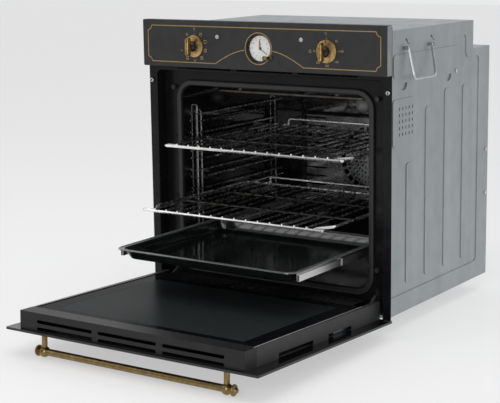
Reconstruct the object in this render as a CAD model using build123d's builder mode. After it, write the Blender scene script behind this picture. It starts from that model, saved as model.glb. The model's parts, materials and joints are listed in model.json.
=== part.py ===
"""Built-in electric oven with its door open, two shelves and a tray pulled out."""
import math
import os

from build123d import *

os.makedirs("parts", exist_ok=True)

# Frame: X right seen from the front, Y back, Z up, millimetres.
# Origin: middle of the front flange's face, level with the underside of the casing.

# Front
front_width = 595.0
front_height = 595.0
panel_height = 98.5
panel_depth = 19.5
panel_wall = 1.2
sheet = 1.0
flange_bottom = 6.5
flange_top = 590.0

# Casing
casing_width = 549.0
casing_height = 581.0
casing_depth = 497.0
upper_depth = 412.0
step_height = 520.5
pan_lip = 14.5

# Recess that takes the closed door, and the cavity behind it
recess_width = 556.0
recess_top = 486.0
recess_depth = 30.0
recess_corner = 12.0
recess_bend = 2.5
cavity_width = 463.0
cavity_bottom = 57.0
cavity_top = 452.0
cavity_corner = 28.0
cavity_rear = 458.0
cavity_flange = 12.0
gasket_width = 12.0
gasket_depth = 7.6

# Door
opening_angle = 87.8
hinge_y = -1.7
hinge_z = 17.8
hinge_x = 250.0
door_bottom = 7.5
door_height = 484.5
outer_glass = 5.0
door_depth = 41.5
box_width_bottom = 541.0
box_width_top = 529.0
box_start = 4.0
cover_start = 440.0
cover_end = 477.5
inner_glass = 4.0
middle_glass = 4.0
trim_width = 11.0
handle_x = 216.0
handle_s = 462.0
handle_offset = 37.5

# Pieces that slide out: how far each stands out of its closed place
shelf_closed_front = 45.0
upper_shelf_out = 102.0
lower_shelf_out = 182.5
tray_closed_front = 78.0
tray_out = 316.0

# Clearances
sliding_gap = 0.3
turning_gap = 0.05
glass_gap = 0.3
wool_gap = 0.3

# Wires
wire_sides = 6


def facing_front(y):
    """Plane at depth y with X right and Z up; a positive extrusion comes forward."""
    return Plane(origin=(0, y, 0), x_dir=(1, 0, 0), z_dir=(0, -1, 0))


def facing_side(x):
    """Plane at x with Y and Z as its axes; a positive extrusion goes to the right."""
    return Plane(origin=(x, 0, 0), x_dir=(0, 1, 0), z_dir=(1, 0, 0))


def facing_up(z):
    """Plane at height z with X and Y as its axes."""
    return Plane.XY.offset(z)


def frame_rectangle(left, right, bottom, top):
    """A rectangle in the open sketch, given by its four edges."""
    with Locations(((left + right) / 2, (bottom + top) / 2)):
        return Rectangle(right - left, top - bottom)


def rounded_rectangle(left, right, bottom, top, corner):
    """A rectangle with round corners in the open sketch, given by its four edges."""
    with Locations(((left + right) / 2, (bottom + top) / 2)):
        return RectangleRounded(right - left, top - bottom, corner)


def bridge_rectangle(half, bottom, top, corner):
    """A rectangle about the middle of the open sketch with its two upper corners round."""
    shape = frame_rectangle(-half, half, bottom, top)
    return fillet(shape.vertices().group_by(Axis.Y)[-1], corner)


def plate(x, y, z):
    """A block given by its low and high limits along the three axes."""
    with BuildPart() as block:
        with Locations(((x[0] + x[1]) / 2, (y[0] + y[1]) / 2, (z[0] + z[1]) / 2)):
            Box(x[1] - x[0], y[1] - y[0], z[1] - z[0])
    return block.part


def rod(start, end, radius):
    """A round rod between two points."""
    axis = Vector(*end) - Vector(*start)
    with BuildPart() as bar:
        with BuildSketch(Plane(origin=start, z_dir=axis)):
            Circle(radius)
        extrude(amount=axis.length)
    return bar.part


def wire(points, radius, bend=0.0, closed=False):
    """A bent wire along the points, drawn with flat sides of its own thickness."""
    with BuildPart() as bent:
        with BuildLine() as path:
            if len(points) > 2:
                FilletPolyline(*points, radius=bend, close=closed)
            else:
                Line(*points)
        with BuildSketch(Plane(origin=path.line @ 0, z_dir=path.line % 0)):
            RegularPolygon(radius, wire_sides)
        sweep(path=path.wire())
    return bent.part


# Places that several pieces share
flange_half = front_width / 2
casing_half = casing_width / 2
recess_half = recess_width / 2
cavity_half = cavity_width / 2
face_front = recess_depth
face_back = recess_depth + sheet
panel_bottom = front_height - panel_height
panel_mid = 541.3
knob_x = 162.0
slot_x = 152.0
slot_length = 138.0
slot_height = 5.0
slot_z = 492.8
knob_spindle = 3.0
clock_window = 38.5
cavity_mid = (cavity_bottom + cavity_top) / 2
deck_height = recess_top + sheet
flange_screw_x = 290.0
flange_screw_z = 463.5
flange_screw_hole = 2.3
hinge_slot_bottom = 26.0
hinge_slot_top = 60.0
hinge_slot_width = 9.0
bumper_x = 252.0
bumper_heights = (447.0, 100.0)
bumper_stem = 3.0
bumper_head = 5.0
bumper_stem_rear = 2.0
fan_z = 250.0
fan_shaft = 4.0
lamp_x = -25.0
lamp_z = 374.0
lamp_stem = 14.0
flange_collar = 5.0
flange_collar_height = 3.0
hook_x = 254.0
hook_heights = (347.5, 215.0)
hook_length = 14.0
hook_width = 1.6
hook_lean = 60.0
hook_rise = 1.5
switch_bush = 5.0
lens_x = 102.7
lens_z = 562.4
lens_radius = 4.5
lens_window = 6.0
element_radius = 3.5
element_x = 20.0
grill_z = 437.0

# Side panel's pressed forms, bails and vents
emboss_depth = 1.5
field_half = casing_half - emboss_depth
emboss_front = 36.0
emboss_rear = 443.0
emboss_bottom = 39.0
emboss_neck = 378.0
emboss_shoulder = 503.0
emboss_top = 552.5
emboss_corner = 12.0
bail_pad_front = 50.0
bail_pad_rear = 352.0
bail_pad_bottom = 485.0
bail_pad_top = 532.0
vent_pad_front = 48.0
vent_pad_rear = 143.0
vent_pad_bottom = 346.0
vent_pad_top = 443.0
pad_corner = 9.0
rib_bottom = 58.0
rib_starts = (107.0, 191.0, 278.0, 365.0)
rib_tops = (309.0, 415.0, 444.5, 444.5)
rib_length = 40.0
rib_corner = 8.0
scoop_middles = (95.0, 294.5)
scoop_top = 474.0
scoop_radius = 15.0
scoop_depth = 3.0
lug_places = ((101.0, 560.0), (211.0, 560.0))
lug_hole = 2.6
lug_length = 16.0
lug_width = 5.0
lug_reach = 12.0
lug_lean = -20.0
bail_front = 96.5
bail_rear = 209.0
bail_x = 279.5
bail_z = 543.7
bail_radius = 2.5
bail_ear = 3.5
bail_bottom_width = 93.0
bail_bottom_z = 480.4
bail_bottom_x = 292.3
vent_y = 102.6
vent_z = 397.0
vent_columns = 5
vent_rows = 5
vent_length = 7.0
vent_width = 3.4
vent_pitch_y = 13.8
vent_pitch_z = 13.0
rear_vent_z = 300.0
rear_vent_rows = 6
rear_vent_length = 120.0
rear_vent_pitch = 260.0
base_vent_rows = 5
base_vent_pitch = 300.0

# Heating elements: how far each bent tube reaches
element_rear = cavity_rear + 12.0
grill_reach = cavity_half - 45.5
grill_near = 90.0
grill_far = 400.0
grill_clip_x = cavity_half - 110.5
floor_reach = cavity_half - 61.5
floor_near = 110.0
floor_far = 380.0

# Inside the casing
wool_outer = casing_half - 12.5
wool_bottom = 20.0
wool_top = 478.0
wool_front = 36.0
wool_rear = 478.0
wool_window = 62.0
element_gap = 0.3
bottom_element_room = 8.0
notch_room = 5.0
fan_cover_half = cavity_half - 35.5
fan_cover_bottom = 146.0
fan_cover_top = 352.0
fan_cover_front = 440.0
fan_cover_side_bevel = 26.0
fan_cover_edge_bevel = 6.0
grille_radius = 75.0
grille_rings = 5
grille_slot = 4.5
grille_cell = 12.0
grille_outer_cells = 24
louvre_x = cavity_half - 77.5
louvre_length = 76.0
louvre_width = 4.0
louvre_pitch = 20.0
louvre_count = 10
shaft_room = 2.0
wheel_radius = 62.0
wheel_blades = 12
blade_circle = 44.6
blade_length = 31.0
blade_lean = 20.0
motor_radius = 36.0
motor_stack = 30.0
motor_stack_half = 28.8
duct_mouth = 10.0
duct_rear_y = 258.0
duct_rear_half = 130.0
duct_rear_height = 54.0
blower_y = 305.0
blower_z = 521.0
blower_radius = 24.0
blower_case = 31.0
blower_blades = 18
blower_half = 124.0
lamp_dome = 19.0
lamp_height = 17.0
lamp_sphere = 19.5
spindle_radius = 3.0
element_bend = 18.0
receiver_half = 7.0
receiver_rear = 90.0
receiver_top = 80.0

# Racks, runners, shelves and tray
rack_wire = 1.9
rung_wire = 1.75
upright_x = cavity_half - 6.2
upper_rung_x = upright_x - 2.8
lower_rung_x = upper_rung_x - 2.5
rack_front = 86.0
rack_rear = 386.0
rack_stay = 71.0
rack_stay_rise = 13.0
rung_front = 68.0
rung_rear = 412.0
top_rung_z = 383.9
rung_pitch = 41.7
rung_drop = 15.5
rack_levels = 7
rack_bottom = 111.0
upper_shelf_level = 1
lower_shelf_level = 4
shelf_half = lower_rung_x - 2
shelf_depth = 388.0
shelf_frame = 3.0
shelf_bar = 2.0
shelf_bar_count = 14
shelf_bar_pitch = (2 * shelf_half - 65.5) / (shelf_bar_count - 1)
shelf_ear = shelf_half - 28.0
shelf_ear_back = 8.0
shelf_shoulder = 49.0
shelf_bends = (3.9, 3.9, 6.0, 16.0, 12.0)
shelf_rail_rise = 17.0
shelf_rail_half = shelf_half - 68.0
shelf_rail_wire = 2.5
shelf_rail_bend = 8.0
runner_length = 348.0
runner_closed_front = 102.0
runner_outer_x = lower_rung_x + 0.4
runner_bottom = 120.2
runner_height = 18.8
runner_wall = 1.2
runner_lip = 6.0
tray_half = lower_rung_x - 2
tray_rim = 12.0
tray_rim_z = 139.7
tray_depth = 375.0
tray_bottom = 118.4
tray_corner = 25.0
tray_draft = 12.0

# Hinges and the door's inside
arm_thickness = 5.0
arm_eye = 9.0
arm_shoulder = (2.0, 18.0)
arm_top = 30.0
arm_top_front = 22.0
arm_tail = 12.0
arm_tail_drop = 10.0
arm_belly = (60.0, 14.0)
arm_hook_rear = 42.0
arm_hook_front = 26.0
link_pin_place = (8.3, 14.0)
receiver_wall = 1.5
receiver_room = 10.0
pivot_radius = 4.0
link_pin = 3.0
link_length = 60.0
link_half = 5.0
link_track = 3.0
casing_half_width = 6.5
casing_wall = 1.2
casing_inner_half = casing_half_width - casing_wall
casing_bottom = 10.0
casing_top = 170.0
casing_lip_y = 13.0
glass_corner = 3.0
rail_height = 60.0
glass_lap = 8.0
glass_lip = 4.0
middle_glass_back = 4.0
middle_glass_bottom = 40.0
middle_glass_half = 242.5
channel_foot = 240.0
rail_half = 239.5
channel_slots = ((115.0, 200.0), (254.0, 370.0))
cover_slot = 7.0
cover_slot_rows = (-9.4, 5.0)
handle_bolt = 2.5

# Handle
handle_bar_radius = 7.0
handle_post_radius = 6.0
handle_ball = 11.0
handle_tenon = 5.0
handle_tenon_length = 6.0
handle_seat = 4.0
handle_finial = 18.0
handle_finial_ball = 6.5
handle_foot = 10.0
handle_foot_height = 3.0

# Knobs
spindle_end = 30.0
spindle_short = 2.0
switch_size = (44.0, 40.0, 42.0)
thermostat_size = (36.0, 30.0, 34.0)
knob_gap = 0.5
skirt_radius = 23.0
skirt_rim = 2.0
skirt_dome = 4.5
knob_neck = 4.0
hub_radius = 11.5
hub_middle = 8.5
grip_start = 17.0
grip_end = 28.0
grip_length = 37.0
grip_width = 9.0
grip_groove = 1.6

# Clock
clock_bore = 29.5
clock_case_radius = 38.0
clock_case_rear = 20.0
glass_ledge = -15.8
dial_bore = 28.5
dial_ledge = -11.2
works_bore = 26.0
works_radius = 22.0
works_front = -2.0
setting_x = 29.5
setting_z = 524.0
setting_stem = 2.5
setting_end = 12.0
setting_base = 5.0
setting_profile = (
    (5.0, 3.0), (3.0, 7.0), (3.0, 16.0), (5.5, 20.0), (5.5, 23.0), (3.0, 25.0), (0.0, 25.0)
)
timer_arbor = 2.8
hour_arbor = 2.0
minute_arbor = 1.2
timer_length = 20.0
timer_width = 1.4
timer_angle = 127.5
hour_length = 13.0
minute_length = 19.0
hand_width = 2.6
hand_thickness = 0.5
hand_gap = 0.5
arbor_end = 12.0

# Small pieces of the casing
screw_places = ((485.0, 288.0), (485.0, 189.0), (331.0, 477.5))
screw_head = 4.5
screw_head_height = 2.0
terminal_x = -220.0
terminal_width = 90.0
terminal_depth = 32.0
terminal_height = 50.0

# Front frame: flange, recess with bent edges, and the face round the cavity's mouth
with BuildPart() as front_frame:
    with BuildSketch(facing_front(sheet)):
        frame_rectangle(-flange_half, flange_half, flange_bottom, flange_top)
    extrude(amount=sheet)
    with BuildSketch(facing_front(face_back)):
        bridge_rectangle(recess_half + sheet, flange_bottom, recess_top + sheet, recess_corner + sheet)
    extrude(amount=face_back)
    with BuildSketch(facing_front(face_front)):
        bridge_rectangle(recess_half, 0, recess_top, recess_corner)
    extrude(amount=face_front, mode=Mode.SUBTRACT)
    back_edges = front_frame.edges().filter_by_position(Axis.Y, sheet - turning_gap, sheet + turning_gap)
    inside_bend = [
        edge for edge in back_edges
        if abs(edge.center().X) < recess_half + 2 * sheet and edge.center().Z < recess_top + 2 * sheet
    ]
    fillet(inside_bend, recess_bend - sheet)
    front_edges = front_frame.edges().filter_by_position(Axis.Y, -turning_gap, turning_gap)
    outside_bend = [
        edge for edge in front_edges
        if abs(edge.center().X) < recess_half + sheet and edge.center().Z < recess_top + sheet
    ]
    fillet(outside_bend, recess_bend)
    for side in (-1, 1):
        with Locations(facing_front(0).location * Location((side * flange_screw_x, flange_screw_z, 0))):
            Cylinder(flange_collar, flange_collar_height, align=(Align.CENTER, Align.CENTER, Align.MIN))
    with BuildSketch(facing_front(face_front)):
        for side in (-1, 1):
            for hook_z in hook_heights:
                with Locations((side * hook_x, hook_z)):
                    SlotOverall(hook_length, hook_width)
                with Locations((side * (hook_x - hook_length / 6), hook_z - hook_length / 2)):
                    SlotOverall(hook_length * 0.75, hook_width, rotation=side * hook_lean)
    extrude(amount=hook_rise)
    with BuildSketch(facing_front(sheet)):
        with Locations((-slot_x, slot_z), (0, slot_z), (slot_x, slot_z)):
            SlotOverall(slot_length, slot_height)
        with Locations((-knob_x, panel_mid), (knob_x, panel_mid)):
            Circle(switch_bush)
        with Locations((-lens_x, lens_z), (lens_x, lens_z)):
            Circle(lens_window)
        with Locations((0, panel_mid)):
            Circle(clock_window)
        with Locations((-flange_screw_x, flange_screw_z), (flange_screw_x, flange_screw_z)):
            Circle(flange_screw_hole)
    extrude(amount=sheet + flange_collar_height, mode=Mode.SUBTRACT)
    with BuildSketch(facing_front(face_back)):
        rounded_rectangle(-cavity_half, cavity_half, cavity_bottom, cavity_top, cavity_corner)
        for side in (-1, 1):
            slot_middle = side * hinge_x
            frame_rectangle(
                slot_middle - hinge_slot_width / 2, slot_middle + hinge_slot_width / 2,
                hinge_slot_bottom, hinge_slot_top
            )
            with Locations(*[(side * bumper_x, height) for height in bumper_heights]):
                Circle(bumper_stem + turning_gap)
    extrude(amount=sheet, mode=Mode.SUBTRACT)
front_frame.part.label = "front_frame"
export_step(front_frame.part, "parts/front_frame.step")

# Cavity: an enamelled box with a flange that seats behind the face
with BuildPart() as cavity:
    with BuildSketch(facing_front(cavity_rear + sheet)):
        rounded_rectangle(
            -cavity_half - sheet, cavity_half + sheet, cavity_bottom - sheet, cavity_top + sheet,
            cavity_corner + sheet
        )
    extrude(amount=cavity_rear + sheet - face_back)
    with BuildSketch(facing_front(face_back + sheet)):
        rounded_rectangle(
            -cavity_half - cavity_flange, cavity_half + cavity_flange,
            cavity_bottom - cavity_flange, cavity_top + cavity_flange, cavity_corner + cavity_flange
        )
    extrude(amount=sheet)
    with BuildSketch(facing_front(cavity_rear)):
        rounded_rectangle(-cavity_half, cavity_half, cavity_bottom, cavity_top, cavity_corner)
    extrude(amount=cavity_rear - face_back, mode=Mode.SUBTRACT)
    with BuildSketch(facing_front(cavity_rear + sheet)):
        with Locations((0, fan_z)):
            Circle(fan_shaft + shaft_room)
        with Locations((lamp_x, lamp_z)):
            Circle(lamp_stem)
        with Locations((-element_x, grill_z), (element_x, grill_z)):
            Circle(element_radius + 1)
    extrude(amount=sheet, mode=Mode.SUBTRACT)
cavity.part.label = "cavity"
export_step(cavity.part, "parts/cavity.step")

# Door gasket: one soft rounded strip round the cavity's mouth
with BuildPart() as door_gasket:
    gasket_inner = cavity_half + sheet
    with BuildSketch(facing_front(face_front)):
        rounded_rectangle(
            -gasket_inner - gasket_width, gasket_inner + gasket_width,
            cavity_bottom - sheet - gasket_width, cavity_top + sheet + gasket_width,
            cavity_corner + sheet + gasket_width
        )
        rounded_hole = RectangleRounded(
            2 * gasket_inner, cavity_top - cavity_bottom + 2 * sheet, cavity_corner + sheet,
            mode=Mode.PRIVATE
        )
        with Locations((0, cavity_mid)):
            add(rounded_hole, mode=Mode.SUBTRACT)
    extrude(amount=gasket_depth)
    fillet(door_gasket.faces().sort_by(Axis.Y)[0].edges(), gasket_width / 3)
door_gasket.part.label = "door_gasket"
export_step(door_gasket.part, "parts/door_gasket.step")

def emboss_outline(margin):
    """Outline of the sunk field of a side panel in the open sketch, drawn larger by the margin."""
    with BuildLine() as outline:
        FilletPolyline(
            (emboss_front - margin, emboss_bottom - margin),
            (emboss_rear + margin, emboss_bottom - margin),
            (emboss_rear + margin, emboss_shoulder + margin),
            (emboss_neck + margin, emboss_shoulder + margin),
            (emboss_neck + margin, emboss_top + margin),
            (emboss_front - margin, emboss_top + margin),
            radius=emboss_corner,
            close=True,
        )
    return make_face(outline.edges())


def rib(front, top):
    """A pressed rib: full height and round corners at its front, falling to nothing at the rear."""
    with BuildPart() as ramp:
        with BuildSketch(facing_up(rib_bottom)):
            with BuildLine():
                Polyline(
                    (field_half, front), (casing_half, front), (field_half, front + rib_length), close=True
                )
            make_face()
        extrude(amount=top - rib_bottom)
        front_corners = ramp.edges().filter_by(Axis.X).group_by(Axis.Y)[0]
        fillet(front_corners, rib_corner)
    return ramp.part


# Side panel: stepped outline, a sunk field with raised pads and ribs in it, vents, scoops and lugs
with BuildPart() as side_panel_right:
    with BuildSketch(facing_side(casing_half - sheet)):
        with BuildLine():
            Polyline(
                (face_back, pan_lip),
                (casing_depth, pan_lip),
                (casing_depth, step_height),
                (upper_depth, step_height),
                (upper_depth, casing_height - sheet),
                (sheet, casing_height - sheet),
                (sheet, deck_height),
                (face_back, deck_height),
                close=True,
            )
        make_face()
    extrude(amount=sheet)
    with BuildSketch(facing_side(field_half - sheet)):
        emboss_outline(sheet)
    extrude(amount=emboss_depth)
    with BuildSketch(facing_side(field_half)):
        emboss_outline(0)
    extrude(amount=emboss_depth, mode=Mode.SUBTRACT)
    with BuildSketch(facing_side(field_half)):
        rounded_rectangle(bail_pad_front, bail_pad_rear, bail_pad_bottom, bail_pad_top, pad_corner)
        rounded_rectangle(vent_pad_front, vent_pad_rear, vent_pad_bottom, vent_pad_top, pad_corner)
    extrude(amount=emboss_depth)
    for front, top in zip(rib_starts, rib_tops):
        add(rib(front, top))
    for ear_y in (bail_front - bail_ear, bail_rear):
        add(plate(
            (field_half, bail_x + bail_ear),
            (ear_y, ear_y + bail_ear),
            (bail_z - bail_ear, bail_z + bail_ear)
        ))
    for wall, mode in ((sheet, Mode.ADD), (0, Mode.SUBTRACT)):
        for scoop_y in scoop_middles:
            with BuildSketch(facing_side(field_half - scoop_depth - wall)):
                with BuildLine():
                    Line(
                        (scoop_y - scoop_radius - wall, scoop_top + wall),
                        (scoop_y + scoop_radius + wall, scoop_top + wall)
                    )
                    ThreePointArc(
                        (scoop_y - scoop_radius - wall, scoop_top + wall),
                        (scoop_y, scoop_top - scoop_radius - wall),
                        (scoop_y + scoop_radius + wall, scoop_top + wall)
                    )
                make_face()
            extrude(amount=scoop_depth + wall, mode=mode)
    with BuildSketch(facing_side(casing_half - sheet)):
        for lug_y, lug_z in lug_places:
            with Locations((lug_y + lug_reach, lug_z - lug_width)):
                SlotOverall(lug_length, lug_width, rotation=lug_lean)
    extrude(amount=sheet + emboss_depth)
    with BuildSketch(facing_side(casing_half - sheet)):
        with Locations(*lug_places):
            Circle(lug_hole)
        with Locations((vent_y, vent_z)):
            with GridLocations(vent_pitch_y, vent_pitch_z, vent_columns, vent_rows):
                SlotOverall(vent_length, vent_width, rotation=90)
    extrude(amount=2 * sheet + emboss_depth, both=True, mode=Mode.SUBTRACT)
    with Locations(Plane(origin=(bail_x, bail_rear + 2 * bail_ear, bail_z), z_dir=(0, 1, 0))):
        Cylinder(bail_radius + turning_gap, 4 * bail_rear, mode=Mode.SUBTRACT)
side_panel_right.part.label = "side_panel_right"
export_step(side_panel_right.part, "parts/side_panel_right.step")

with BuildPart() as side_panel_left:
    add(mirror(side_panel_right.part, about=Plane.YZ, mode=Mode.PRIVATE))
side_panel_left.part.label = "side_panel_left"
export_step(side_panel_left.part, "parts/side_panel_left.step")

# Top panel with turned-down edges inside the side panels
with BuildPart() as top_panel:
    add(plate((-casing_half, casing_half), (sheet, upper_depth), (casing_height - sheet, casing_height)))
    for side in (-1, 1):
        edge_low, edge_high = sorted((side * (casing_half - 2 * sheet), side * (casing_half - sheet)))
        add(plate(
            (edge_low, edge_high), (sheet, upper_depth - sheet),
            (casing_height - pan_lip, casing_height - sheet)
        ))
top_panel.part.label = "top_panel"
export_step(top_panel.part, "parts/top_panel.step")

# Rear cover: one sheet stepped forward above the lower part
with BuildPart() as rear_cover:
    with BuildSketch(facing_side(-casing_half + sheet)):
        with BuildLine():
            Polyline(
                (casing_depth - sheet, 2 * sheet),
                (casing_depth, 2 * sheet),
                (casing_depth, step_height),
                (upper_depth, step_height),
                (upper_depth, casing_height - sheet),
                (upper_depth - sheet, casing_height - sheet),
                (upper_depth - sheet, step_height - sheet),
                (casing_depth - sheet, step_height - sheet),
                close=True,
            )
        make_face()
    extrude(amount=casing_width - 2 * sheet)
    with BuildSketch(facing_front(casing_depth)):
        with Locations((0, rear_vent_z)):
            with GridLocations(rear_vent_pitch, 4 * slot_height, 2, rear_vent_rows):
                Rectangle(rear_vent_length, slot_height)
    extrude(amount=sheet, mode=Mode.SUBTRACT)
rear_cover.part.label = "rear_cover"
export_step(rear_cover.part, "parts/rear_cover.step")

# Base pan: floor of the casing with raised edges
with BuildPart() as base_pan:
    add(plate((-casing_half, casing_half), (face_back, casing_depth), (0, pan_lip)))
    add(plate(
        (-casing_half + sheet, casing_half - sheet), (face_back + sheet, casing_depth - sheet),
        (sheet, pan_lip)
    ), mode=Mode.SUBTRACT)
    add(plate(
        (-casing_half + sheet, casing_half - sheet), (casing_depth - sheet, casing_depth),
        (2 * sheet, pan_lip)
    ), mode=Mode.SUBTRACT)
    for side in (-1, 1):
        edge_low, edge_high = sorted((side * (casing_half - 2 * sheet), side * (casing_half - sheet)))
        add(plate((edge_low, edge_high), (face_back, casing_depth - sheet), (0, 2 * pan_lip)))
    with BuildSketch(facing_up(0)):
        with Locations((0, casing_depth / 2)):
            with GridLocations(base_vent_pitch, 4 * slot_height, 2, base_vent_rows):
                Rectangle(rear_vent_length, slot_height)
    extrude(amount=sheet, mode=Mode.SUBTRACT)
base_pan.part.label = "base_pan"
export_step(base_pan.part, "parts/base_pan.step")

# Insulation: wool round the cavity, open at the front and behind the fan and lamp
with BuildPart() as insulation:
    add(plate((-wool_outer, wool_outer), (wool_front, wool_rear), (wool_bottom, wool_top)))
    with BuildSketch(facing_front(cavity_rear + sheet + wool_gap)):
        rounded_rectangle(
            -cavity_half - sheet - wool_gap, cavity_half + sheet + wool_gap,
            cavity_bottom - sheet - bottom_element_room, cavity_top + sheet + wool_gap, cavity_corner + sheet
        )
    extrude(amount=cavity_rear, mode=Mode.SUBTRACT)
    add(plate(
        (-wool_window, wool_window), (cavity_rear, wool_rear), (fan_z - wool_window, wool_top)
    ), mode=Mode.SUBTRACT)
    add(plate(
        (-wool_window, wool_window), (cavity_rear, wool_rear),
        (cavity_bottom - sheet - bottom_element_room, cavity_bottom + wool_window)
    ), mode=Mode.SUBTRACT)
    for side in (-1, 1):
        notch_low, notch_high = sorted((
            side * (hinge_x - 3 * receiver_half), side * (wool_outer + notch_room)
        ))
        add(plate(
            (notch_low, notch_high), (face_back, receiver_rear + notch_room),
            (wool_bottom - notch_room, receiver_top + notch_room)
        ), mode=Mode.SUBTRACT)
insulation.part.label = "insulation"
export_step(insulation.part, "parts/insulation.step")

# Cooling duct: a deck above the wool with a mouth behind the front slots that widens from the blower
duct_front_half = slot_x + slot_length / 2 + 6
with BuildPart() as cooling_duct:
    for wall, mode in ((0, Mode.ADD), (sheet, Mode.SUBTRACT)):
        with BuildSketch(facing_front(recess_bend)) as mouth:
            frame_rectangle(
                -duct_front_half + wall, duct_front_half - wall,
                deck_height + sheet + wall, deck_height + sheet + duct_mouth - wall
            )
        with BuildSketch(facing_front(duct_rear_y)) as throat:
            frame_rectangle(
                -duct_rear_half + wall, duct_rear_half - wall,
                deck_height + sheet + wall, deck_height + sheet + duct_rear_height - wall
            )
        loft(mode=mode)
    add(plate(
        (-field_half + sheet, field_half - sheet), (face_back, upper_depth - sheet),
        (deck_height, deck_height + sheet)
    ))
cooling_duct.part.label = "cooling_duct"
export_step(cooling_duct.part, "parts/cooling_duct.step")

# Blower housing: scroll over the cross-flow wheel, its outlet on the duct, and the motor at one end
blower_floor = deck_height + sheet
with BuildPart() as blower_housing:
    with BuildSketch(facing_side(-blower_half - 2 * sheet)):
        with Locations((blower_y, blower_z)):
            Circle(blower_case)
        frame_rectangle(duct_rear_y, blower_y, blower_floor, blower_floor + duct_rear_height)
    extrude(amount=2 * (blower_half + 2 * sheet))
    with BuildSketch(facing_side(-blower_half - sheet)):
        with Locations((blower_y, blower_z)):
            Circle(blower_case - sheet)
        frame_rectangle(
            duct_rear_y, blower_y, blower_floor + sheet, blower_floor + duct_rear_height - sheet
        )
    extrude(amount=2 * (blower_half + sheet), mode=Mode.SUBTRACT)
    add(plate(
        (-blower_half, blower_half), (blower_y, blower_y + 2 * blower_case),
        (blower_z, blower_z + blower_radius)
    ), mode=Mode.SUBTRACT)
    with BuildSketch(facing_side(blower_half + 2 * sheet)):
        with Locations((blower_y, blower_z)):
            Circle(blower_radius)
    extrude(amount=blower_radius + blower_case / 2)
    with Locations(Plane(origin=(0, blower_y, blower_z), z_dir=(1, 0, 0))):
        Cylinder(spindle_radius + turning_gap, 4 * blower_half, mode=Mode.SUBTRACT)
    add(plate(
        (-blower_half, blower_half), (blower_y - blower_case / 2, blower_y + blower_case / 2),
        (blower_floor, blower_z - blower_case + 2 * sheet)
    ))
    with BuildSketch(facing_side(-blower_half - sheet)):
        with Locations((blower_y, blower_z)):
            Circle(blower_case - sheet)
    extrude(amount=2 * (blower_half + sheet), mode=Mode.SUBTRACT)
blower_housing.part.label = "blower_housing"
export_step(blower_housing.part, "parts/blower_housing.step")

# Blower wheel: three discs and a cage of straight blades on one spindle
with BuildPart() as blower_wheel:
    for disc_x in (-blower_half, 0, blower_half - sheet):
        with BuildSketch(facing_side(disc_x)):
            with Locations((blower_y, blower_z)):
                Circle(blower_radius)
        extrude(amount=sheet)
    with BuildSketch(facing_side(-blower_half)):
        with Locations((blower_y, blower_z)):
            with PolarLocations(blower_radius - blower_case / 8, blower_blades):
                Rectangle(blower_case / 5, sheet)
    extrude(amount=2 * blower_half)
    with BuildSketch(facing_side(-blower_half - 4 * sheet)):
        with Locations((blower_y, blower_z)):
            Circle(spindle_radius)
    extrude(amount=2 * blower_half + blower_case)
blower_wheel.part.label = "blower_wheel"
export_step(blower_wheel.part, "parts/blower_wheel.step")

# Fan motor behind the cavity's rear wall: plate, iron stack and bearing cap
motor_front = cavity_rear + sheet
with BuildPart() as fan_motor:
    with BuildSketch(facing_front(motor_front + 2 * sheet)):
        frame_rectangle(-motor_radius, motor_radius, fan_z - motor_radius, fan_z + motor_radius)
    extrude(amount=2 * sheet)
    with BuildSketch(facing_front(motor_front + motor_stack)):
        frame_rectangle(
            -motor_stack_half, motor_stack_half, fan_z - motor_stack_half, fan_z + motor_stack_half
        )
    extrude(amount=motor_stack - 2 * sheet)
    with BuildSketch(facing_front(casing_depth - 3 * sheet)):
        with Locations((0, fan_z)):
            Circle(motor_radius / 3)
    extrude(amount=casing_depth - 3 * sheet - motor_front - motor_stack)
    with BuildSketch(facing_front(casing_depth - 4 * sheet)):
        with Locations((0, fan_z)):
            Circle(fan_shaft + turning_gap)
    extrude(amount=casing_depth - 4 * sheet - motor_front, mode=Mode.SUBTRACT)
fan_motor.part.label = "fan_motor"
export_step(fan_motor.part, "parts/fan_motor.step")

# Fan wheel: disc with straight blades in front of it, on its shaft
wheel_front = fan_cover_front + 3 * sheet
wheel_rear = cavity_rear - 3 * sheet
with BuildPart() as fan_wheel:
    with BuildSketch(facing_front(wheel_rear)):
        with Locations((0, fan_z)):
            Circle(wheel_radius)
    extrude(amount=sheet)
    with BuildSketch(facing_front(wheel_rear - sheet)):
        with Locations((0, fan_z)):
            with PolarLocations(blade_circle, wheel_blades):
                Rectangle(blade_length, sheet, rotation=blade_lean)
    extrude(amount=wheel_rear - sheet - wheel_front)
    with BuildSketch(facing_front(casing_depth - 6 * sheet)):
        with Locations((0, fan_z)):
            Circle(fan_shaft)
    extrude(amount=casing_depth - 6 * sheet - wheel_front)
fan_wheel.part.label = "fan_wheel"
export_step(fan_wheel.part, "parts/fan_wheel.step")

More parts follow.
